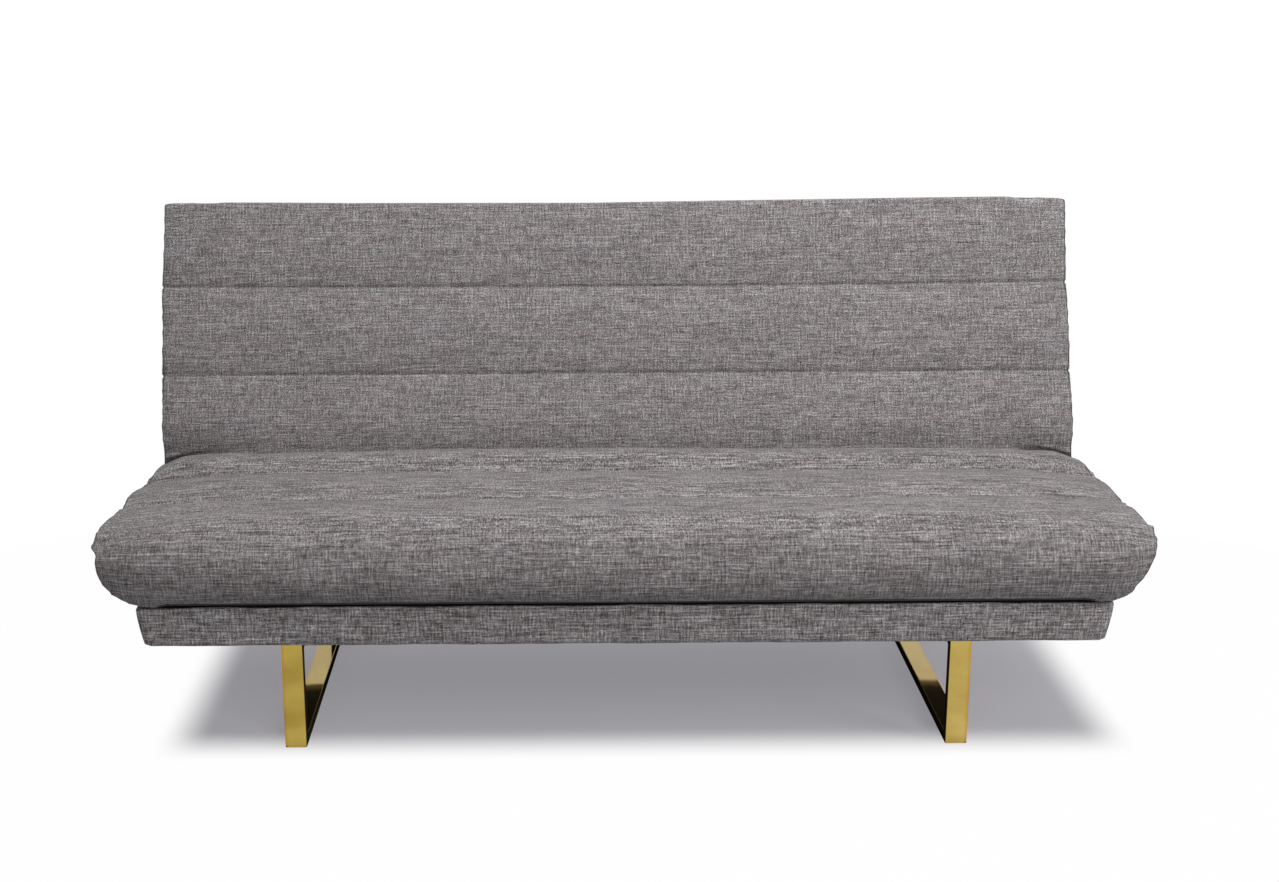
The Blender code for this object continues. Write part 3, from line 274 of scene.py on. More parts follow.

# %% [markdown]
# ## The woven cloth
# The cover is a linen-look cloth. Pale grey, mid grey and charcoal yarns cross in a plain weave, some yarns
# lean to brown, and all of them have slubs: thick stretches a few centimetres long that show as light or
# dark streaks. The weave is drawn from noise that is stretched hard along each yarn. It lies on a map of
# the cloth in metres, so the yarns stay straight and keep their size over every curve. The top of the seat
# is rubbed by sitters: there the upright yarns fade, and streaks and knots stand out. Near both ends the
# back's cloth has painted shade: a dark line along the fold between back and seat. The back's and the
# band's cloths are copies of the seat's, painted lighter for the light that falls on them.


# %% Paint shade along a fold
def painted_fold_shade(material, height):
    """Painted shade: a dark line a few millimetres high where the back meets the seat, near the ends only."""
    place = node(material, "ShaderNodeSeparateXYZ", Vector=own_place(material)).outputs
    aside = maths(material, "ABSOLUTE", place["X"])
    end = ranged(material, aside, 0.80, 0.945, smooth=False)
    level = maths(material, "MULTIPLY_ADD", maths(material, "POWER", end, 2.2), 0.021, place["Z"])
    over = ranged(material, level, height + 0.002, height + 0.008, 1.0, 0.0)
    below = ranged(material, level, height - 0.014, height - 0.006)
    near_end = ranged(material, aside, 0.80, 0.90)
    in_front = ranged(material, place["Y"], 0.174, 0.184, 1.0, 0.0)
    line = maths(material, "MULTIPLY", maths(material, "MULTIPLY", over, below), near_end)
    return maths(material, "MULTIPLY", line, in_front)


# %% Weave the cloth
ON_THE_STRIP = 1.5    # the cloth map's end panels start beyond this height


def woven_cloth(name, shade=1.0, contrast=1.0, rubbed=0.0, grit=0.0, fold=None):
    """Rubbed: how far the upright yarns fade on the seat's top. Grit: how strong the small knots are."""
    # shade scales the cloth's colour; above 1 the cloth is painted lighter, standing in for light
    material, shader = new_material(name, (0.250 * shade, 0.228 * shade, 0.224 * shade), 0.92)
    cloth = node(material, "ShaderNodeUVMap", {"uv_map": "cloth"}).outputs["UV"]
    drift = node(material, "ShaderNodeTexNoise", Vector=cloth, Scale=9.0, Detail=2.0).outputs["Color"]
    sway = node(material, "ShaderNodeVectorMath", {"operation": "MULTIPLY_ADD"}, _0=drift,
                _1=(0.006, 0.006, 0), _2=cloth).outputs[0]
    weft = stretched(material, sway, (38, 560, 1), detail=2.0, shift=3.1, rough=0.6)
    warp = stretched(material, sway, (560, 56, 1), detail=2.0, shift=7.7, rough=0.6)
    weft_slub = stretched(material, sway, (15, 230, 1), detail=1.0, shift=11.3)
    warp_slub = stretched(material, sway, (250, 38, 1), detail=1.0, shift=17.9)
    speck = stretched(material, sway, (1150, 1150, 1), detail=1.0, shift=23.5)
    patch = stretched(material, sway, (9, 16, 1), detail=2.0, shift=29.0)
    knots = stretched(material, sway, (430, 170 if rubbed else 430, 1), detail=1.0, shift=37.0)
    apart = node(material, "ShaderNodeSeparateXYZ", Vector=sway)

    def centred(value, weight):
        return maths(material, "MULTIPLY", maths(material, "SUBTRACT", value, 0.5), weight)

    def rows(axis, number, strength):
        """A thicker yarn every few millimetres, stronger where strength is high."""
        wave = maths(material, "SINE", maths(material, "MULTIPLY", apart.outputs[axis], number * math.tau))
        return maths(material, "MULTIPLY", wave, maths(material, "MULTIPLY", strength, strength))

    upright_yarns = maths(material, "ADD", centred(warp, 0.80), centred(warp_slub, 0.36))
    upright_yarns = maths(material, "MULTIPLY_ADD", rows("X", 147, warp_slub), 0.12, upright_yarns)
    rubbing = ranged(material, apart.outputs["Y"], 0.10, 0.24, 0.0, rubbed)
    on_strip = maths(material, "LESS_THAN", apart.outputs["Y"], ON_THE_STRIP)
    bare = maths(material, "MULTIPLY", rubbing, on_strip)
    worn = maths(material, "SUBTRACT", 1.0, bare)
    total = maths(material, "MULTIPLY_ADD", upright_yarns, worn, centred(weft, 0.88))
    streaks = maths(material, "MULTIPLY_ADD", bare, 0.8, 0.46)
    total = maths(material, "MULTIPLY_ADD", maths(material, "SUBTRACT", weft_slub, 0.5), streaks, total)
    knotty = maths(material, "MULTIPLY_ADD", bare, 3.2, grit)
    total = maths(material, "MULTIPLY_ADD", maths(material, "SUBTRACT", knots, 0.5), knotty, total)
    total = maths(material, "ADD", total, centred(speck, 1.35))
    total = maths(material, "ADD", total, centred(patch, 0.11))
    total = maths(material, "MULTIPLY_ADD", rows("Y", 155, weft_slub), 0.14, total)
    total = maths(material, "MULTIPLY_ADD", total, contrast, 0.5)
    yarns = ramp(material, total, (
        (0.00, (0.030 * shade, 0.026 * shade, 0.026 * shade)),
        (0.26, (0.112 * shade, 0.101 * shade, 0.101 * shade)),
        (0.50, (0.236 * shade, 0.217 * shade, 0.217 * shade)),
        (0.74, (0.400 * shade, 0.378 * shade, 0.381 * shade)),
        (1.00, (0.700 * shade, 0.680 * shade, 0.690 * shade))))
    hue = stretched(material, sway, (7, 130, 1), detail=2.0, shift=31.0)
    brown = ramp(material, hue, ((0.28, (0.985, 1.0, 1.02)), (0.48, (1.0, 1.0, 1.0)),
                                 (0.72, (1.05, 0.985, 0.965))))
    mixed = blend(material, 1.0, yarns, brown)
    if fold:
        # painted shade: the cloth is darkened along the fold near the ends
        mixed = blend(material, painted_fold_shade(material, fold), mixed, (0.20, 0.18, 0.18, 1))
    feed(material, mixed, shader, "Base Color")
    shader.inputs["Sheen Weight"].default_value = 0.12
    shader.inputs["Sheen Roughness"].default_value = 0.45
    shader.inputs["Specular IOR Level"].default_value = 0.25
    bump(material, shader, total, 0.55, 0.0012)
    return material


# the back's cloth is the seat's painted 8 % lighter and the band's 29 % lighter, for the light that falls on
# them
cover_cloth_painted_lighter = woven_cloth("woven_cover_cloth_painted_lighter", 1.08, contrast=0.90, grit=1.50, fold=0.4285)
seat_cloth = woven_cloth("woven_seat_cloth", contrast=1.15, rubbed=0.35)
band_cloth_painted_lighter = woven_cloth("woven_band_cloth_painted_lighter", 1.29, contrast=1.40)
print("cloth", cover_cloth_painted_lighter.name, len(cover_cloth_painted_lighter.node_tree.nodes), "nodes")


# %% Spin the dust cloth
def dust_cloth_finish():
    material, shader = new_material("black_dust_cloth", (0.020, 0.020, 0.022), 0.95)
    place = own_place(material)
    fibres = stretched(material, place, (300, 420, 300), detail=4.0, shift=3.4, rough=0.7)
    dimples = node(material, "ShaderNodeTexVoronoi", Vector=place, Scale=420.0).outputs["Distance"]
    feed(material, ramp(material, fibres, ((0.35, (0.012, 0.012, 0.014)), (0.70, (0.042, 0.042, 0.045)))),
         shader, "Base Color")
    height = maths(material, "MULTIPLY_ADD", dimples, 0.8, fibres)
    bump(material, shader, height, 0.45, 0.0005)
    return material


dust_cloth = dust_cloth_finish()
print(dust_cloth.name, len(dust_cloth.node_tree.nodes), "nodes")


# %% Line hidden faces with dust cloth that also paints shade into a crease
def line_faces_black_for_crease_shade(piece, chosen):
    """Gives the chosen faces the black cloth, as where the cover is folded out of sight and stapled;
    it also stands in for the shade in the crease between the seat and the base.
    """
    piece.data.materials.append(dust_cloth)
    for face in piece.data.polygons:
        if chosen(face.center, face.normal):
            face.material_index = 1


# %% [markdown]
# ## The two cushions
# Each cushion is foam in a sewn cover. Seams across the cover hold it down, and between them the foam
# pushes the cloth up into soft channels. A cushion could be drawn by hand, but cloth that is really
# blown up against its seams takes on small, uneven swellings that are hard to draw. So the solid is
# copied, covered with an even net of small faces, made a little too small, and then filled with air
# while its seams and its hidden side are held. How far a point may travel is limited, so that the
# cushion keeps the outline seen in the photograph.

# %% Where the cushions hang and where their seams run
hinge_y, hinge_z = frame["joints"][1]["pos_m"][1:]
RECLINE = math.radians(18)
HALF_WIDE, BACK_LONG, BACK_CHANNEL = 0.945, 0.583, 0.178
SEAT_SEAMS = (hinge_y - 0.222, hinge_y - 0.392)
BACK_SEAMS = (BACK_LONG - 2 * BACK_CHANNEL, BACK_LONG - BACK_CHANNEL)
SEAM_ROWS = (-0.0035, 0, 0.0035)    # rows of edges beside a seam, so that it can be narrow
hinge = Vector((0, hinge_y, hinge_z))
up_slope = Vector((0, math.sin(RECLINE), math.cos(RECLINE)))
out_back = np.array((0, math.cos(RECLINE), -math.sin(RECLINE)))
print("hinge at y %.4f z %.4f" % (hinge_y, hinge_z), "seat seams at y", SEAT_SEAMS)


# %% Turn places into the back's own slope
def slope_places(values):
    """Across, towards the rear and up the back's slope, measured from the hinge."""
    y, z = values[:, 1] - hinge_y, values[:, 2] - hinge_z
    rear = y * math.cos(RECLINE) - z * math.sin(RECLINE)
    up = y * math.sin(RECLINE) + z * math.cos(RECLINE)
    return np.column_stack((values[:, 0], rear, up))


# %% Copy a solid
def solid_copy(solid, name):
    """A bare copy of a solid's mesh, with the corners that its faces share merged."""
    piece = bpy.data.objects.new(name, nodes[solid].data.copy())
    bpy.context.scene.collection.objects.link(piece)
    piece.data.materials.clear()
    only(piece)
    bpy.ops.object.mode_set(mode="EDIT")
    bpy.ops.mesh.select_all(action="SELECT")
    bpy.ops.mesh.remove_doubles(threshold=0.00002)
    bpy.ops.object.mode_set(mode="OBJECT")
    return piece


# %% Net a copy with even faces
def soft_copy(solid, name, spacing):
    piece = solid_copy(solid, name)
    outline = section_line(piece)
    piece.data.remesh_voxel_size = spacing
    bpy.ops.object.voxel_remesh()
    return piece, outline


# %% Walk round a cushion's section
def section_line(piece):
    """The outline of the piece at one place across it, in order from its front foot, as (y, z) points."""
    work = bmesh.new()
    work.from_mesh(piece.data)
    made = bmesh.ops.bisect_plane(work, geom=work.verts[:] + work.edges[:] + work.faces[:], dist=1e-6,
                                  plane_co=(0.31, 0, 0), plane_no=(1, 0, 0))["geom_cut"]
    ring = {item for item in made if isinstance(item, bmesh.types.BMVert)}
    here = min(ring, key=lambda v: (round(v.co.z, 3), v.co.y))
    before, line = None, []
    while here is not None:
        line.append((here.co.y, here.co.z))
        beside = [edge.other_vert(here) for edge in here.link_edges if edge.other_vert(here) in ring]
        beside = [v for v in beside if v is not before and v is not here]
        if before is None:
            beside = sorted(beside, key=lambda v: v.co.y)
        if not beside or len(line) > 400:
            break
        before, here = here, beside[0]
        if (here.co.y, here.co.z) == line[0]:
            break
    work.free()
    return np.array(line)


# %% Blow the cover up against what holds it
PRESSURE, TRAVEL, STIFFNESS, FRAMES = 1.6, 0.006, 40, 20
SEAM_HELD = 0.0055


def rounded_edge(facing):
    """Picks the points on the rounded edge between the strip and an end panel."""
    return (np.abs(facing[:, 0]) > 0.45) & (np.abs(facing[:, 0]) < 0.88)


def swell(piece, held, seam_gap):
    """Shrinks the cover by up to 3 mm, less near its seams, and fills it with air."""
    room = np.where(held, 0, np.clip(seam_gap / 0.03, 0.2, 1)) * 0.003
    put_places(piece, places(piece) - normals(piece) * room[:, None])
    group = piece.vertex_groups.new(name="held")
    group.add(np.nonzero(held)[0].tolist(), 1.0, "REPLACE")
    start = places(piece)
    cloth = piece.modifiers.new("cloth", "CLOTH")
    cloth.settings.quality = 4
    cloth.settings.use_pressure = True
    cloth.settings.uniform_pressure_force = PRESSURE
    cloth.settings.effector_weights.gravity = 0
    cloth.settings.vertex_group_mass = "held"
    cloth.settings.tension_stiffness = STIFFNESS
    cloth.settings.compression_stiffness = STIFFNESS
    cloth.settings.shear_stiffness = STIFFNESS / 3
    cloth.settings.bending_stiffness = 0.8
    for step in range(1, FRAMES + 1):
        bpy.context.scene.frame_set(step)
    only(piece)
    bpy.ops.object.modifier_apply(modifier="cloth")
    bpy.context.scene.frame_set(1)
    move = places(piece) - start
    far = np.maximum(np.linalg.norm(move, axis=1), 1e-9)
    print(piece.name, "travel mean %.4f most %.4f" % (far[~held].mean(), far.max()))
    put_places(piece, start + move * (TRAVEL * np.tanh(far / TRAVEL) / far)[:, None])
    piece.vertex_groups.clear()


# %% Draw the cover in along a seam
def sewn(values, facing, distance, reach, depth, along, gather):
    """Sinks points near a seam, and gathers the cloth beside it in small uneven tucks."""
    sink = depth * np.exp(-(distance / reach) ** 2)
    waves = (np.sin(along * 61 + 0.7) + np.sin(along * 97 + 2.1) * 0.7 + np.sin(along * 173 + 4.0) * 0.5)
    tucks = gather * waves * np.exp(-np.abs(distance) / 0.022)
    return values - facing * (sink + tucks)[:, None]


# %% Measure along a cushion's section
def along_section(values, outline):
    """How far each point is along the section's outline, from its front foot."""
    begin, end = outline, np.roll(outline, -1, axis=0)
    run = end - begin
    length = np.maximum(np.linalg.norm(run, axis=1), 1e-9)
    sums = np.concatenate(([0], np.cumsum(length)[:-1]))
    best = np.full(len(values), 1e9)
    along = np.zeros(len(values))
    for k in range(len(outline)):
        offset = values[:, 1:] - begin[k]
        share = np.clip((offset @ run[k]) / length[k] ** 2, 0, 1)
        gap = np.linalg.norm(offset - share[:, None] * run[k], axis=1)
        nearer = gap < best
        best[nearer] = gap[nearer]
        along[nearer] = sums[k] + share[nearer] * length[k]
    return along


# %% Fade a change in and out
def grown(value, none, full):
    """0 where value is at none or before it, 1 at full or beyond it, and straight in between."""
    return np.clip((value - none) / (full - none), 0, 1)


def eased(share):
    return share * share * (3 - 2 * share)


# %% Pull a cushion's ends to the photograph's outline
def pull_ends(values, at, left, right, reach=0.09):
    """Moves both ends outwards by left and right, in mm at the spots of at, fading out across the sofa."""
    aside = np.abs(values[:, 0])
    share = eased(grown(aside, aside.max() - reach, aside.max()))
    out_left = np.interp(at[0], at[1], left) / 1000
    out_right = np.interp(at[0], at[1], right) / 1000
    values[:, 0] += share * np.where(values[:, 0] < 0, -out_left, out_right)
    return values


# %% Read and write a cloth map
def face_corners(mesh):
    """The vertex of every face corner, and the direction that its face looks in."""
    corners = np.empty(len(mesh.loops), dtype=np.int64)
    mesh.loops.foreach_get("vertex_index", corners)
    facing = np.empty(len(mesh.polygons) * 3)
    mesh.polygons.foreach_get("normal", facing)
    totals = np.empty(len(mesh.polygons), dtype=np.int64)
    mesh.polygons.foreach_get("loop_total", totals)
    return corners, np.repeat(facing.reshape(-1, 3), totals, axis=0)


def put_map(mesh, u, v):
    mesh.uv_layers.new(name="cloth").data.foreach_set(
        "uv", np.column_stack((u, v)).astype(np.float32).ravel())


# %% Lay the cloth map on a cushion
def lay_cloth(piece, outline):
    """Maps the cover in metres: across the sofa, and along the section from the front foot."""
    values = places(piece)
    along = along_section(values, outline)
    corners, facing = face_corners(piece.data)
    sideways = np.abs(facing[:, 0]) > 0.72
    put_map(piece.data, np.where(sideways, values[corners, 1] + 2.0, values[corners, 0]),
            np.where(sideways, values[corners, 2] + 2.0, along[corners]))


# %% Refine and finish a cushion
def refine(piece):
    only(piece)
    piece.modifiers.new("finer", "SUBSURF").levels = 1
    piece.modifiers["finer"].render_levels = 1
    bpy.ops.object.modifier_apply(modifier="finer")


# %% Cut rows of edges into a piece
def cut_across(piece, cuts):
    """Adds a row of edges where each plane, a place and a direction, meets the piece."""
    only(piece)
    bpy.ops.object.mode_set(mode="EDIT")
    for place, facing in cuts:
        bpy.ops.mesh.select_all(action="SELECT")
        bpy.ops.mesh.bisect(plane_co=place, plane_no=facing)
    bpy.ops.object.mode_set(mode="OBJECT")


# %% Make the back cushion
SPACING, POCKET_MARGIN = 0.010, 0.006
back_cover, back_outline = soft_copy("back_cushion", "back_cover", SPACING)
values = places(back_cover)
own = slope_places(values)
deck = slope_places(np.array([tuple(v.co) for v in nodes["back_deck"].data.vertices]))
pocket_low, pocket_high = deck.min(0) - POCKET_MARGIN, deck.max(0) + POCKET_MARGIN
in_pocket = ((own[:, 0] > pocket_low[0]) & (own[:, 0] < pocket_high[0]) & (own[:, 1] > pocket_low[1])
             & (own[:, 2] > pocket_low[2]) & (own[:, 2] < pocket_high[2]))
seam_gap = np.min([np.abs(own[:, 2] - seam) for seam in BACK_SEAMS], axis=0)
front_side = own[:, 1] < -0.03
facing = normals(back_cover)
facing_up = facing[:, 1] * math.sin(RECLINE) + facing[:, 2] * math.cos(RECLINE)
top_seam = (own[:, 2] > 0.55) & (facing_up > 0.40) & (facing_up < 0.90)
held = (in_pocket | (own[:, 1] > 0.058) | (own[:, 2] < 0.036) | (front_side & (seam_gap < SEAM_HELD))
        | rounded_edge(facing) | top_seam)
print("back cover", len(values), "points,", int(held.sum()), "held; outline", len(back_outline))
swell(back_cover, held, seam_gap)
refine(back_cover)

# %% Sew the back cushion's seams
for seam in BACK_SEAMS:
    cut_across(back_cover, [(hinge + up_slope * (seam + offset), up_slope) for offset in SEAM_ROWS])
values, facing = places(back_cover), normals(back_cover)
own = slope_places(values)
for seam in BACK_SEAMS:
    near = np.where(own[:, 1] < 0.0, np.abs(own[:, 2] - seam), 1.0)
    values = sewn(values, facing, near, 0.0030, 0.0034, own[:, 0], 0.0005)
print("back seams at", [round(seam, 3) for seam in BACK_SEAMS], "m up the slope")

# %% Tuck the back's lower end and round its corners
# The lower end rolls back behind the seat, deeper near the sofa's ends. The top corners are rounded.
aside = np.abs(own[:, 0])
tuck = grown(own[:, 2], 0.135, 0.060) * grown(own[:, 1], 0.02, -0.01)
deeper = 1 + 1.1 * grown(aside, 0.74, 0.92)
rolled = grown(aside, 0.919, HALF_WIDE) * (own[:, 1] < 0.01)
rearwards = 0.010 * tuck * tuck * deeper + 0.008 * rolled * rolled
values = values + out_back * rearwards[:, None]
CORNER = 0.012
over_side = np.maximum(aside - (HALF_WIDE - CORNER), 0)
over_top = np.maximum(own[:, 2] - (BACK_LONG - CORNER), 0)
from_centre = np.hypot(over_side, over_top)
excess = np.maximum(from_centre - CORNER, 0) / np.maximum(from_centre, CORNER)
in_corner = (over_side > 0) & (over_top > 0)
values[:, 0] -= np.where(in_corner, np.sign(own[:, 0]) * over_side * excess, 0)
values = values - np.array(up_slope) * np.where(in_corner, over_top * excess, 0)[:, None]
print("tucked by up to %.4f m," % rearwards.max(), int(in_corner.sum()), "points in the corners")

# %% Bring the back to the photograph's outline
# Its ends aren't quite straight, its seams sag towards the middle, and its top edge isn't quite level.
BACK_SPOTS = (0.04, 0.07, 0.11, 0.15, 0.23, 0.31, 0.40, 0.48, 0.56)
values = pull_ends(values, (own[:, 2], BACK_SPOTS), (6, 6.5, 7, 5.7, 7, 6.2, 8, 4.6, 3),
                   (8.5, 8.5, 7, 5.2, 3.5, 1.5, -0.5, -1.6, -0.6))
middle = 1 - (values[:, 0] / HALF_WIDE) ** 2
sag_low = np.interp(own[:, 2], (0.06, BACK_SEAMS[0], 0.32), (0, 0.0080, 0))
sag_high = np.interp(own[:, 2], (0.32, BACK_SEAMS[1], 0.49), (0, 0.0055, 0)) * middle
values = values - np.array(up_slope) * (sag_low + sag_high)[:, None]
level_top = np.interp(values[:, 0], (-0.94, -0.81, -0.56, -0.31, -0.06, 0.19, 0.45, 0.70, 0.82, 0.94),
                      (9.1, 5.2, 0.8, -0.5, -1.9, 0.9, 3.0, 5.8, 7.3, 8.0)) / 1000
near_top = eased(grown(own[:, 2], 0.49, 0.56))
values = values + np.array(up_slope) * (level_top * near_top)[:, None]
put_places(back_cover, values)
lay_cloth(back_cover, back_outline)
back_cover.data.shade_smooth()
back_cover.data.materials.append(cover_cloth_painted_lighter)
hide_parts("back_cushion")
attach(back_cover, "back")
print("back cover", len(back_cover.data.polygons), "faces")

# %% Make the seat cushion
seat_cover, seat_outline = soft_copy("seat_cushion", "seat_cover", SPACING)
values, facing = places(seat_cover), normals(seat_cover)
cloth_low, cloth_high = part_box("seat_under_cloth")
deck_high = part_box("seat_deck")[1]
seat_low = values[:, 2].min()
in_pocket = ((np.abs(values[:, 0]) < cloth_high.x + POCKET_MARGIN)
             & (values[:, 1] > cloth_low.y - POCKET_MARGIN)
             & (values[:, 1] < cloth_high.y + POCKET_MARGIN) & (values[:, 2] < deck_high.z + POCKET_MARGIN))
seam_gap = np.min([np.abs(values[:, 1] - seam) for seam in SEAT_SEAMS], axis=0)
top_side = values[:, 2] > deck_high.z + 0.03
held = (in_pocket | (values[:, 2] < seat_low + 0.006) | (values[:, 1] > hinge_y - 0.078)
        | (top_side & (seam_gap < SEAM_HELD)) | rounded_edge(facing))
print("seat cover", len(values), "points,", int(held.sum()), "held; outline", len(seat_outline))
swell(seat_cover, held, seam_gap)
refine(seat_cover)

# %% Sew the seat cushion's seams
for seam in SEAT_SEAMS:
    cut_across(seat_cover, [((0, seam + offset, 0), (0, 1, 0)) for offset in SEAM_ROWS])
values, facing = places(seat_cover), normals(seat_cover)
for seam in SEAT_SEAMS:
    near = np.where(values[:, 2] > deck_high.z + 0.02, np.abs(values[:, 1] - seam), 1.0)
    values = sewn(values, facing, near, 0.0045, 0.0090, values[:, 0], 0.0006)
    lip = np.where(near < 1, np.exp(-((values[:, 1] - seam + 0.0095) / 0.0050) ** 2), 0)
    values = values + facing * (0.0030 * lip)[:, None]
print("seat seams at y", [round(seam, 4) for seam in SEAT_SEAMS])

# %% Bow the seat's front seam and raise its rear edge
on_top = grown(values[:, 2] - deck_high.z, 0.02, 0.07)
middle = grown(np.abs(values[:, 0]), 0.90, 0.55)
bow = np.interp(values[:, 1], (-0.40, SEAT_SEAMS[1], SEAT_SEAMS[0]), (0, 0.022, 0))
values[:, 1] -= bow * on_top * middle
rear = eased(grown(values[:, 1] - SEAT_SEAMS[0], 0.004, 0.049))
RISE_SPOTS = (-0.93, -0.89, -0.84, -0.73, -0.60, -0.35, 0, 0.30, 0.75, 0.83, 0.885, 0.93)
rise = np.interp(values[:, 0], RISE_SPOTS, (9, 15, 13.5, 8, 8, 12, 12.5, 9, 9, 10, 14, 9)) / 1000
values[:, 2] += rise * rear * on_top
print("bowed by up to %.4f m, raised by up to %.4f m" % (bow.max(), rise.max()))

# %% Bring the seat to the photograph's outline
# The spots run along its section, from the front foot over the nose and the top to the rear edge.
SPOTS = (0.0, 0.034, 0.0465, 0.0585, 0.069, 0.081, 0.0925, 0.103, 0.114, 0.126, 0.135, 0.152, 0.197,
         0.217, 0.253, 0.29, 0.327, 0.366, 0.408, 0.447, 0.49, 0.533, 0.577, 0.60, 0.67, 0.74)
LEFT_OUT = (0, 2, 7, 9.5, 6.5, 9, 10, 11, 8, 5.5, 3, 15, 19, 15.5, 16.5, 15, 11.5, 13, 13.5, 18, 15.5,
            8, 3.5, -3, -7, -8)
RIGHT_OUT = (0, 5, -3, -11, -11, -8.5, -4.5, -2.5, -1, 1.5, 2.5, 6.5, 13, 3, 4.2, 5.5, 8, 6.5, 11, 10.5,
             11.5, 11, 7, 1, -4, -5)
values = pull_ends(values, (along_section(values, seat_outline), SPOTS), LEFT_OUT, RIGHT_OUT)
aside = np.abs(values[:, 0])
under = eased(grown(values[:, 1] - hinge_y, -0.545, -0.575) * grown(values[:, 2] - seat_low, 0.05, 0)
              * grown(aside, 0.875, 0.825))
values[:, 2] += 0.0085 * under
ends = grown(aside, 0.855, HALF_WIDE) * grown(values[:, 1], -0.30, -0.40)
values[:, 1] += np.where(values[:, 0] < 0, 0.017, 0.026) * ends * ends
put_places(seat_cover, values)
lay_cloth(seat_cover, seat_outline)
seat_cover.data.shade_smooth()
seat_cover.data.materials.append(seat_cloth)
# black cloth on the cover's flat bottom: the stapled underside, and also painted shade for the crease above
# the band
line_faces_black_for_crease_shade(seat_cover, lambda centre, normal: normal.z < -0.8 and centre.z < deck_high.z)
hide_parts("seat_cushion")
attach(seat_cover, "seat")
print("seat cover", len(seat_cover.data.polygons), "faces")

# %% [markdown]
# ## The seams of the end panels
# A cushion's cover is one long strip over the front and top, closed at each end by a panel cut to the
# section's shape. The two are sewn together along the rounded edge, and the seam shows as a fine dark ridge.
# It is a thin cord of thread and folded cloth. The line follows the cushion's outline, moved to the spot on
# the real, swollen surface that faces half sideways, so it stays on the cloth whatever shape that took.


# %% Sew an end seam
SEAM_STEP, SEAM_THICK = 0.0035, 0.0010


def walk_on(piece, outline, end, keep):
    """Points on the piece's rounded edge, in order round the part of its outline that keep allows."""
    spots = []
    run = np.linalg.norm(np.roll(outline, -1, axis=0) - outline, axis=1)
    at = np.concatenate(([0], np.cumsum(run)))
    closed = np.vstack((outline, outline[:1]))
    even = np.arange(0, at[-1], SEAM_STEP)
    outline = np.column_stack([np.interp(even, at, closed[:, k]) for k in (0, 1)])
    kept = np.array([keep(*place) for place in outline])
    outline = np.roll(outline, -int(np.nonzero(kept & ~np.roll(kept, 1))[0][0]), axis=0)
    turn = np.roll(outline, -2, axis=0) - np.roll(outline, 2, axis=0)
    away = np.column_stack((turn[:, 1], -turn[:, 0])) / np.linalg.norm(turn, axis=1)[:, None]
    centre = outline.mean(0)
    for place, side in zip(outline, away):
        if side @ (place - centre) < 0:
            side = -side
        if keep(*place):
            outside = Vector((end * 1.25, *(place + side * 0.30)))
            spots.append(piece.closest_point_on_mesh(outside)[1])
    line = [spots[0]]
    for spot in spots[1:]:
        if (spot - line[-1]).length > 0.003:
            line.append(spot)
    for _ in range(4):
        finer = [line[0]]
        for before, after in zip(line, line[1:]):
            if (after - before).length > 0.0045:
                finer.append(piece.closest_point_on_mesh((before + after) / 2)[1])
            finer.append(after)
        line = finer
    return line


def end_seam(name, piece, outline, end, body, keep, shade):
    line = walk_on(piece, outline, end, keep)
    print(name, "longest step", round(max((b - a).length for a, b in zip(line, line[1:])), 4))
    curve = bpy.data.curves.new(name, "CURVE")
    curve.dimensions = "3D"
    curve.bevel_depth, curve.bevel_resolution, curve.use_fill_caps = SEAM_THICK, 2, True
    spline = curve.splines.new("POLY")
    spline.points.add(len(line) - 1)
    for point, spot in zip(spline.points, line):
        point.co = (*spot, 1)
    seam = bpy.data.objects.new(name, curve)
    bpy.context.scene.collection.objects.link(seam)
    only(seam)
    bpy.ops.object.convert(target="MESH")
    seam = bpy.context.object
    seam.data.materials.clear()
    seam.data.materials.append(shade)
    seam.data.shade_smooth()
    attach(seam, body)
    print(name, len(line), "points,", len(seam.data.polygons), "faces")


# %% Twist the seam thread
def seam_thread():
    material, shader = new_material("seam_thread", (0.075, 0.068, 0.068), 0.9)
    place = own_place(material)
    twist = stretched(material, place, (520, 520, 520), detail=2.0, shift=5.0)
    feed(material, ramp(material, twist, ((0.35, (0.040, 0.035, 0.035)), (0.70, (0.150, 0.138, 0.138)))),
         shader, "Base Color")
    bump(material, shader, twist, 0.5, 0.0006)
    return material


thread = seam_thread()
for end, side in ((-1, "left"), (1, "right")):
    end_seam("seat_end_seam_" + side, seat_cover, seat_outline, end, "seat",
             lambda y, z: z > seat_low + 0.004 and y < hinge_y - 0.085, thread)
    end_seam("back_end_seam_" + side, back_cover, back_outline, end, "back",
             lambda y, z: out_back[1] * (y - hinge_y) + out_back[2] * (z - hinge_z) < 0.062, thread)

# %% [markdown]
# ## The base band
# The base is a shallow wooden box. A strip of the cover's cloth over thin wadding is pulled round it,
# folded over its top edge and stapled out of sight. Wadding makes its face swell a little between the
# edges, and lifts its top edge by two to four millimetres, unevenly. Its left end stands out a little.

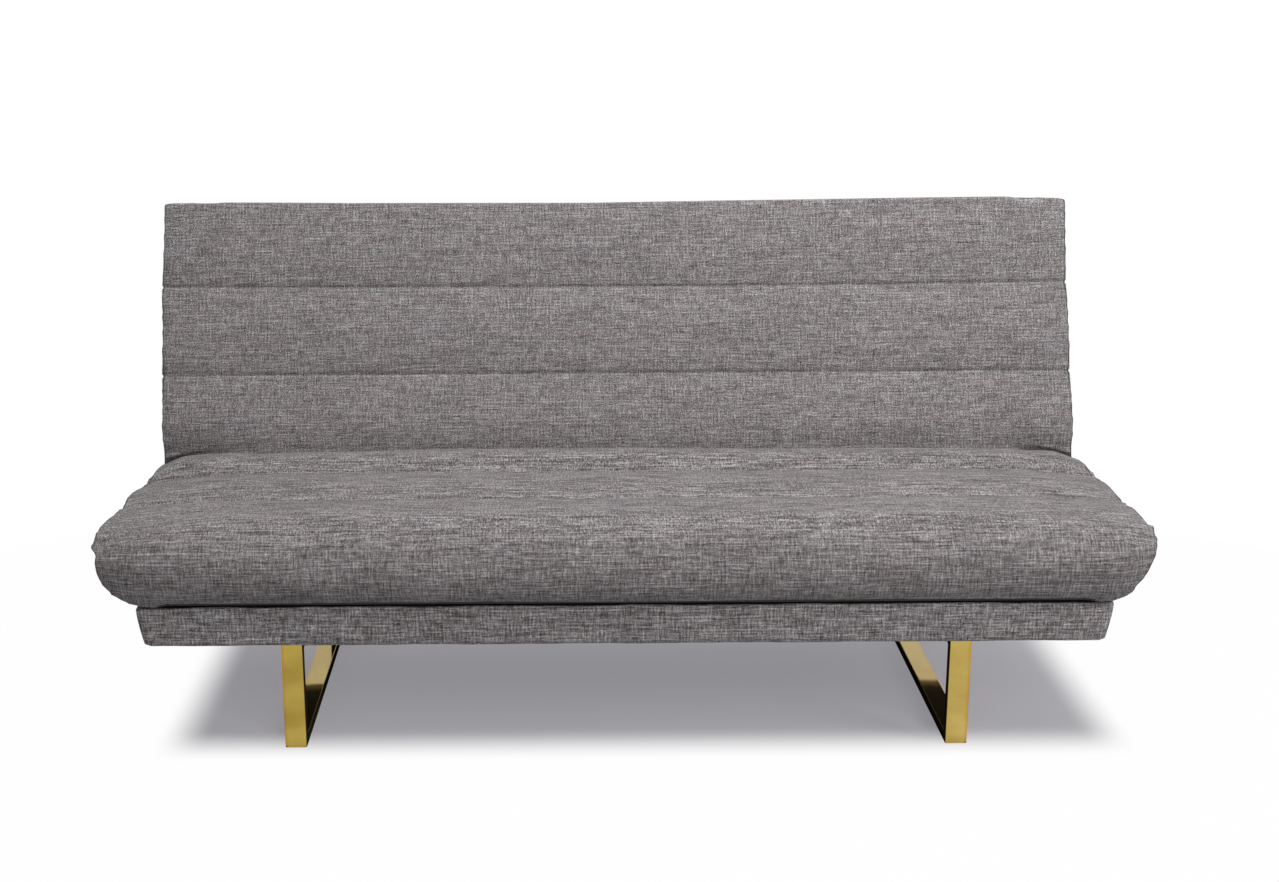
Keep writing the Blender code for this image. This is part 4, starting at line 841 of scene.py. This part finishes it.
# %% Make the base wrap
base_wrap = solid_copy("base_band", "base_wrap")
band_low, band_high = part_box("base_band")
cuts = [((k * 0.02, 0, 0), (1, 0, 0)) for k in range(-43, 44)]
cuts += [((0, k * 0.02 + 0.01, 0), (0, 1, 0)) for k in range(-17, 17)]
cuts += [((0, 0, band_low.z + k * 0.0115), (0, 0, 1)) for k in range(1, 6)]
cuts += [((0, 0, band_high.z - drop), (0, 0, 1)) for drop in (0.0015, 0.004)]
for edge in (0.003, 0.007, 0.012):
    cuts += [((end * (band_high.x - edge), 0, 0), (1, 0, 0)) for end in (-1, 1)]
    cuts.append(((0, band_low.y + edge, 0), (0, 1, 0)))
cut_across(base_wrap, cuts)
print("base wrap", len(cuts), "cuts,", len(base_wrap.data.vertices), "points")

# %% Pad the base wrap
values, facing = places(base_wrap), normals(base_wrap)
outer = ((np.abs(values[:, 0]) > band_high.x - 0.0152) | (values[:, 1] < band_low.y + 0.0092)
         | (values[:, 1] > band_high.y - 0.0092))
height = (values[:, 2] - band_low.z) / (band_high.z - band_low.z)
puff = 0.0022 * np.clip(4 * height * (1 - height), 0, 1) ** 0.7
along = values[:, 0] + values[:, 1] * 0.8
wave = np.sin(along * 23 + 1.3) + 0.6 * np.sin(along * 41 + 0.4) + 0.4 * np.sin(along * 87 + 2.2)
values = values + facing * np.where(outer, puff + 0.0004 * wave, 0)[:, None]
inward = np.minimum(values[:, 1] - band_low.y, band_high.x - np.abs(values[:, 0]))
slope = grown(inward, 0.014, 0) * grown(band_high.z - values[:, 2], 0.012, 0)
clear_of_ends = grown(np.abs(values[:, 0]), 0.80, 0.75)
values[:, 2] += (0.0015 + 0.0024 * clear_of_ends + 0.0005 * wave) * slope
values[:, 2] -= 0.0027 * np.where(outer, grown(height, 0.3, 0), 0)
values[:, 0] -= 0.0070 * grown(values[:, 0], -0.60, -0.88) ** 2
put_places(base_wrap, values)
mesh = base_wrap.data
corners, flat = face_corners(mesh)
end_side, top_side = np.abs(flat[:, 0]) > 0.7, np.abs(flat[:, 2]) > 0.7
put_map(mesh, np.where(end_side, values[corners, 1] + 3.0, values[corners, 0] + 0.37),
        np.where(top_side, values[corners, 1] + 5.0, values[corners, 2] + 4.0))
only(base_wrap)
bpy.ops.object.shade_smooth_by_angle(angle=math.radians(50))
mesh.materials.append(band_cloth_painted_lighter)
# black cloth on the band's top behind its edge: painted shade for the crease under the seat's nose
line_faces_black_for_crease_shade(base_wrap, lambda centre, normal: normal.z > 0.7 and band_high.x - abs(centre.x) > 0.006
           and centre.y - band_low.y > 0.006)
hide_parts("base_band")
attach(base_wrap, "base")
print("base wrap", len(mesh.polygons), "faces")

# %% [markdown]
# ## The brass loops
# Each loop is flat steel tube, 40 mm wide and 20 mm deep, mitred at the corners, welded, ground flush and
# plated with brass. A tube's edges are rounded, and on a mirror finish those narrow rounded edges catch the
# light and outline the leg. So the loop is modelled again with them: a block whose two sides are inset by
# the tube's depth and bridged through, and then a fine bevel on every edge. Weighted normals keep the
# broad faces flat, so that they mirror without bending the picture.


# %% Model one loop
def tube_loop(name, low, high, depth, rounding):
    bpy.ops.object.select_all(action="DESELECT")
    middle, size = (low + high) / 2, high - low
    bpy.ops.mesh.primitive_cube_add(size=1, location=middle, scale=size)
    loop = bpy.context.object
    loop.name = name
    bpy.ops.object.transform_apply(location=True, rotation=True, scale=True)
    bpy.ops.object.mode_set(mode="EDIT")
    bpy.ops.mesh.select_mode(type="FACE")
    bpy.ops.mesh.select_all(action="DESELECT")
    bpy.ops.object.mode_set(mode="OBJECT")
    for face in loop.data.polygons:
        face.select = abs(face.normal.x) > 0.9
    bpy.ops.object.mode_set(mode="EDIT")
    bpy.ops.mesh.inset(thickness=depth, depth=0, use_individual=True)
    bpy.ops.mesh.bridge_edge_loops()
    bpy.ops.mesh.select_all(action="SELECT")
    bpy.ops.mesh.normals_make_consistent(inside=False)
    bpy.ops.mesh.select_mode(type="VERT")
    bpy.ops.object.mode_set(mode="OBJECT")
    edges = loop.modifiers.new("rounded_edges", "BEVEL")
    edges.width, edges.segments = rounding, 4
    edges.limit_method, edges.angle_limit = "ANGLE", math.radians(30)
    bpy.ops.object.modifier_apply(modifier="rounded_edges")
    bpy.ops.object.shade_smooth_by_angle(angle=math.radians(35))
    loop.modifiers.new("flat_faces", "WEIGHTED_NORMAL").keep_sharp = True
    bpy.ops.object.modifier_apply(modifier="flat_faces")
    return loop


loop_low, loop_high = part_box("leg_loop_left")
brass_loop_left = tube_loop("brass_loop_left", loop_low, loop_high, 0.020, 0.0020)
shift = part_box("leg_loop_right")[0].x - loop_low.x
brass_loop_right = bpy.data.objects.new("brass_loop_right", brass_loop_left.data.copy())
bpy.context.scene.collection.objects.link(brass_loop_right)
brass_loop_right.data.transform(Matrix.Translation((shift, 0, 0)))
print("loops", len(brass_loop_left.data.polygons), "faces each, apart", round(shift, 4))

# %% [markdown]
# The plating is a deep gold and never quite even: soft bands and a few fine lines cross the posts, wiping
# marks run along the tube, and the top of the floor bar is scratched by shoes and vacuum cleaners. Light is
# painted into it as well: a redder strip along the outer edge is painted reflection of the rounded edge, the
# left loop is painted darker and the right one paler and bluer as the light falls from the right, the top of
# the floor bar is painted greyer as shade, and the narrow sides that face inwards are painted dark between
# their bright edges, as shade. All of it is drawn on the loop's own coordinates.


# %% Polish the brass
def polished_brass():
    material, shader = new_material("polished_brass", (0.46, 0.32, 0.08), 0.12, 1.0)
    place = own_place(material)
    bands = stretched(material, place, (4, 4, 15), detail=2.0, shift=1.7)
    cloud = stretched(material, place, (18, 7, 24), detail=3.0, shift=6.1)
    mixed = maths(material, "MULTIPLY_ADD", bands, 0.65, maths(material, "MULTIPLY", cloud, 0.35))
    tone = ramp(material, mixed, ((0.34, (0.380, 0.250, 0.048)), (0.50, (0.460, 0.325, 0.075)),
                                  (0.66, (0.560, 0.410, 0.105))))
    apart = node(material, "ShaderNodeSeparateXYZ", Vector=place)
    sideways = maths(material, "ABSOLUTE", apart.outputs["X"])
    # painted reflection: a redder tint along the outer edge strip stands in for the reflections on the
    # rounded edge
    outer_edge_strip = ranged(material, sideways, 0.6235, 0.6295)
    uneven = maths(material, "MULTIPLY", outer_edge_strip, maths(material, "MULTIPLY_ADD", bands, 1.2, 0.15))
    tone = blend(material, uneven, tone, (1.04, 0.74, 0.42, 1))
    marks = stretched(material, place, (420, 60, 60), detail=3.0, shift=12.0, rough=0.65)
    scratch = ranged(material, marks, 0.66, 0.72, smooth=False)
    low = ranged(material, apart.outputs["Z"], 0.026, 0.020, smooth=False)
    scratch = maths(material, "MULTIPLY", maths(material, "MULTIPLY", scratch, low), 0.55)
    tone = blend(material, scratch, tone, (0.16, 0.11, 0.05, 1), "MIX")
    lines = stretched(material, place, (3, 3, 210), detail=3.0, shift=15.0, rough=0.7)
    line = ranged(material, lines, 0.63, 0.72, 0.0, 0.16, smooth=False)
    tone = blend(material, line, tone, (0.45, 0.38, 0.25, 1))
    foot = ranged(material, apart.outputs["Z"], 0.0075, 0.0045, smooth=False)
    tone = blend(material, maths(material, "MULTIPLY", foot, outer_edge_strip), tone, (0.70, 0.20, 0.12, 1))
    # painted light: the left loop is tinted darker and the right one paler and bluer, as the light falls from
    # the right
    left_to_right = ranged(material, apart.outputs["X"], -0.6, 0.6, smooth=False)
    painted_side_light = ramp(material, left_to_right, ((0.0, (0.84, 0.86, 0.80)), (1.0, (1.04, 1.08, 1.28))))
    tone = blend(material, 1.0, tone, painted_side_light)
    facing = node(material, "ShaderNodeSeparateXYZ",
                  Vector=node(material, "ShaderNodeTexCoord").outputs["Normal"])
    outward = maths(material, "MULTIPLY", facing.outputs["X"], maths(material, "SIGN", apart.outputs["X"]))
    inward = maths(material, "MULTIPLY", outward, -1.0)
    # painted shade: the top of the floor bar is tinted darker and greyer
    painted_bar_top_shade = ranged(material, facing.outputs["Z"], 0.8, 0.95, 0.0, 0.55, smooth=False)
    tone = blend(material, maths(material, "MULTIPLY", painted_bar_top_shade, low), tone, (0.66, 0.66, 0.74, 1))
    # painted shade: the narrow inward sides are dark and not metallic, standing in for the dark underside
    # they mirror
    painted_inner_flank_shade = ranged(material, inward, 0.30, 0.85)
    feed(material, blend(material, painted_inner_flank_shade, tone, (0.034, 0.026, 0.014, 1), "MIX"), shader, "Base Color")
    wiping = stretched(material, place, (90, 14, 900), detail=3.0, shift=4.2)
    gloss = maths(material, "MULTIPLY_ADD", wiping, 0.05, maths(material, "MULTIPLY_ADD", scratch, 0.4, 0.03))
    gloss = maths(material, "MULTIPLY_ADD", painted_inner_flank_shade, 0.45, gloss)
    feed(material, maths(material, "SUBTRACT", 1.0, painted_inner_flank_shade), shader, "Metallic")
    shader.inputs["Specular IOR Level"].default_value = 0.0
    feed(material, gloss, shader, "Roughness")
    ripple = stretched(material, place, (22, 8, 22), detail=1.0, shift=9.0)
    bump(material, shader, ripple, 0.08, 0.002)
    return material


brass = polished_brass()
for side, loop in (("left", brass_loop_left), ("right", brass_loop_right)):
    loop.data.materials.clear()
    loop.data.materials.append(brass)
    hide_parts("leg_loop_" + side)
    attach(loop, "base")
print("brass on the loops")

# %% [markdown]
# ## The back's rear panel
# Seen from behind, the back is closed by a board in the same cloth, stapled in from inside. Thin wadding
# under the cloth rounds its edges and lifts its middle by a millimetre or two. The solid is a plain board,
# so its copy gets rounded edges, a net of faces, and that lift.

# %% Upholster the rear panel
rear_cover = solid_copy("back_rear_panel", "rear_cover")
bpy.ops.object.mode_set(mode="EDIT")
bpy.ops.mesh.dissolve_limited(angle_limit=math.radians(1))
bpy.ops.object.mode_set(mode="OBJECT")
edges = rear_cover.modifiers.new("rounded_edges", "BEVEL")
edges.width, edges.segments = 0.0035, 3
bpy.ops.object.modifier_apply(modifier="rounded_edges")
own = slope_places(places(rear_cover))
panel_low, panel_high = own.min(0), own.max(0)
ACROSS, UP = 18, 12
panel_long = panel_high[2] - panel_low[2]
cuts = [((k * 0.05, 0, 0), (1, 0, 0)) for k in range(-ACROSS, ACROSS + 1)]
cuts += [(hinge + up_slope * (panel_low[2] + panel_long * k / UP), up_slope) for k in range(1, UP)]
cut_across(rear_cover, cuts)
values = places(rear_cover)
own = slope_places(values)
from_edge = np.minimum(panel_high[0] - np.abs(own[:, 0]),
                       np.minimum(own[:, 2] - panel_low[2], panel_high[2] - own[:, 2]))
lift = 0.0024 * grown(from_edge, 0, 0.05) ** 0.6
lift = lift + 0.0005 * np.sin(own[:, 0] * 17 + 0.6) * np.sin(own[:, 2] * 23 + 1.1)
behind = own[:, 1] > panel_high[1] - 0.001
put_places(rear_cover, values + out_back * np.where(behind, np.maximum(lift, 0), 0)[:, None])
mesh = rear_cover.data
corners = face_corners(mesh)[0]
put_map(mesh, own[corners, 0] + own[corners, 1], own[corners, 2] + 7.0)
bpy.ops.object.shade_smooth_by_angle(angle=math.radians(40))
mesh.materials.append(cover_cloth_painted_lighter)
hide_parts("back_rear_panel")
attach(rear_cover, "back")
print("rear cover", len(mesh.polygons), "faces")

# %% [markdown]
# ## The dust cloths
# Thin black non-woven cloth is stapled under the seat and under the base to keep dust out. It is pulled
# tight but still hangs a few millimetres between its staples. Each is the solid's own thin sheet, netted and
# let down where nothing is under it.


# %% Hang a dust cloth
SAG = 0.0035
RAILS_X = (-0.611, 0.611)


def hang(solid, name, body):
    """A netted copy of a thin solid that hangs by up to SAG where no edge or rail is near."""
    piece = solid_copy(solid, name)
    low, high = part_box(solid)
    cuts = [((low.x + (high.x - low.x) * k / 30, 0, 0), (1, 0, 0)) for k in range(1, 30)]
    cuts += [((0, low.y + (high.y - low.y) * k / 12, 0), (0, 1, 0)) for k in range(1, 12)]
    cut_across(piece, cuts)
    values = places(piece)
    room = np.minimum(np.minimum(values[:, 0] - low.x, high.x - values[:, 0]),
                      np.minimum(values[:, 1] - low.y, high.y - values[:, 1])) - 0.015
    for rail_x in RAILS_X:
        room = np.minimum(room, np.abs(values[:, 0] - rail_x) - 0.05)
    room = eased(grown(room, 0, 0.10))
    ripple = 1 + 0.35 * np.sin(values[:, 0] * 29 + 1) + 0.25 * np.sin(values[:, 1] * 37 + values[:, 0] * 11)
    values[:, 2] -= SAG * room * ripple
    put_places(piece, values)
    bpy.ops.object.shade_smooth_by_angle(angle=math.radians(40))
    piece.data.materials.append(dust_cloth)
    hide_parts(solid)
    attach(piece, body)


hang("seat_under_cloth", "seat_dust_cloth", "seat")
hang("base_under_cloth", "base_dust_cloth", "base")

# %% [markdown]
# ## The hidden frame
# Under the cloth sits what carries a sitter: pine boards round the base, plywood decks, black powder-coated
# steel tube, and zinc-plated bolts and catches. They show from below, from behind and when the seat is
# lifted. Each of these finishes is a shape that is already right with a material of its own.


# %% Dress solid pieces in a finish
def dress(material, *names):
    for name in names:
        nodes[name].data.materials.clear()
        nodes[name].data.materials.append(material)
    print(material.name, "on", len(names), "pieces")


# %% Cut the pine boards
def sawn_wood(name, along, light, dark):
    """Sawn wood whose grain runs along X (0) or Y (1)."""
    material, shader = new_material(name, light, 0.72)
    place = own_place(material)
    rings = (2.2, 46, 46) if along == 0 else (46, 2.2, 46)
    fibres = (9, 700, 700) if along == 0 else (700, 9, 700)
    bands = stretched(material, place, rings, detail=3.0, shift=2.3, rough=0.55)
    waves = maths(material, "SINE", maths(material, "MULTIPLY", bands, 46.0))
    fine = stretched(material, place, fibres, detail=2.0, shift=5.9)
    total = maths(material, "MULTIPLY_ADD", waves, 0.22, maths(material, "MULTIPLY_ADD", fine, 0.5, 0.25))
    feed(material, ramp(material, total, ((0.15, dark), (0.60, light))), shader, "Base Color")
    bump(material, shader, fine, 0.35, 0.0006)
    return material


pine_across = sawn_wood("pine_across", 0, (0.62, 0.44, 0.26), (0.42, 0.26, 0.13))
pine_deep = sawn_wood("pine_deep", 1, (0.60, 0.42, 0.25), (0.40, 0.25, 0.13))
plywood = sawn_wood("birch_plywood", 0, (0.66, 0.52, 0.36), (0.52, 0.38, 0.23))
dress(pine_across, "base_front_rail", "base_rear_rail")
dress(pine_deep, "base_side_rail_left", "base_side_rail_right", "base_leg_rail_left",
      "base_leg_rail_right")
dress(plywood, "seat_deck", "back_deck")


# %% Coat the steel frame
def powder_coat():
    material, shader = new_material("black_powder_coat", (0.028, 0.028, 0.030), 0.46)
    place = own_place(material)
    peel = stretched(material, place, (260, 260, 260), detail=2.0, shift=3.0)
    rubbed = stretched(material, place, (14, 14, 14), detail=4.0, shift=8.0)
    feed(material, ramp(material, rubbed, ((0.35, (0.022, 0.022, 0.024)), (0.70, (0.045, 0.044, 0.044)))),
         shader, "Base Color")
    feed(material, maths(material, "MULTIPLY_ADD", rubbed, 0.25, 0.32), shader, "Roughness")
    bump(material, shader, peel, 0.25, 0.0005)
    return material


powder = powder_coat()
frame_steel = [name for name in nodes
               if "tube" in name or "_arm_" in name or name.startswith("hinge_bracket")]
dress(powder, *frame_steel)


# %% Plate the bolts, catches and springs
def zinc_plate(name, light, dark, roughness):
    material, shader = new_material(name, light, roughness, 1.0)
    place = own_place(material)
    spangle = stretched(material, place, (150, 150, 150), detail=3.0, shift=1.0)
    turned = stretched(material, place, (1800, 60, 60), detail=1.0, shift=6.0)
    feed(material, ramp(material, spangle, ((0.30, dark), (0.65, light))), shader, "Base Color")
    feed(material, maths(material, "MULTIPLY_ADD", spangle, 0.25, roughness - 0.12), shader, "Roughness")
    bump(material, shader, turned, 0.15, 0.0003)
    return material


zinc = zinc_plate("zinc_plate", (0.62, 0.61, 0.57), (0.46, 0.45, 0.42), 0.34)
spring_steel = zinc_plate("spring_steel", (0.34, 0.33, 0.33), (0.22, 0.21, 0.22), 0.40)
plated = [name for name in nodes if name.startswith(("leg_bolt", "bracket_screw", "pivot_bolt", "pivot_nut",
                                                     "pawl_pin", "pawl_left", "pawl_right"))]
dress(zinc, *plated)
dress(spring_steel, "pawl_spring_left", "pawl_spring_right")


# %% Mould the plastic glides and bushes
def moulded_plastic():
    material, shader = new_material("moulded_plastic", (0.030, 0.030, 0.032), 0.55)
    place = own_place(material)
    spark = stretched(material, place, (900, 900, 900), detail=2.0, shift=2.0)
    scuff = stretched(material, place, (40, 40, 160), detail=4.0, shift=4.0)
    feed(material, ramp(material, scuff, ((0.40, (0.026, 0.026, 0.028)), (0.80, (0.060, 0.060, 0.060)))),
         shader, "Base Color")
    bump(material, shader, spark, 0.30, 0.0002)
    return material


plastic = moulded_plastic()
dress(plastic, *[name for name in nodes if name.startswith(("leg_glide", "pivot_bush"))])
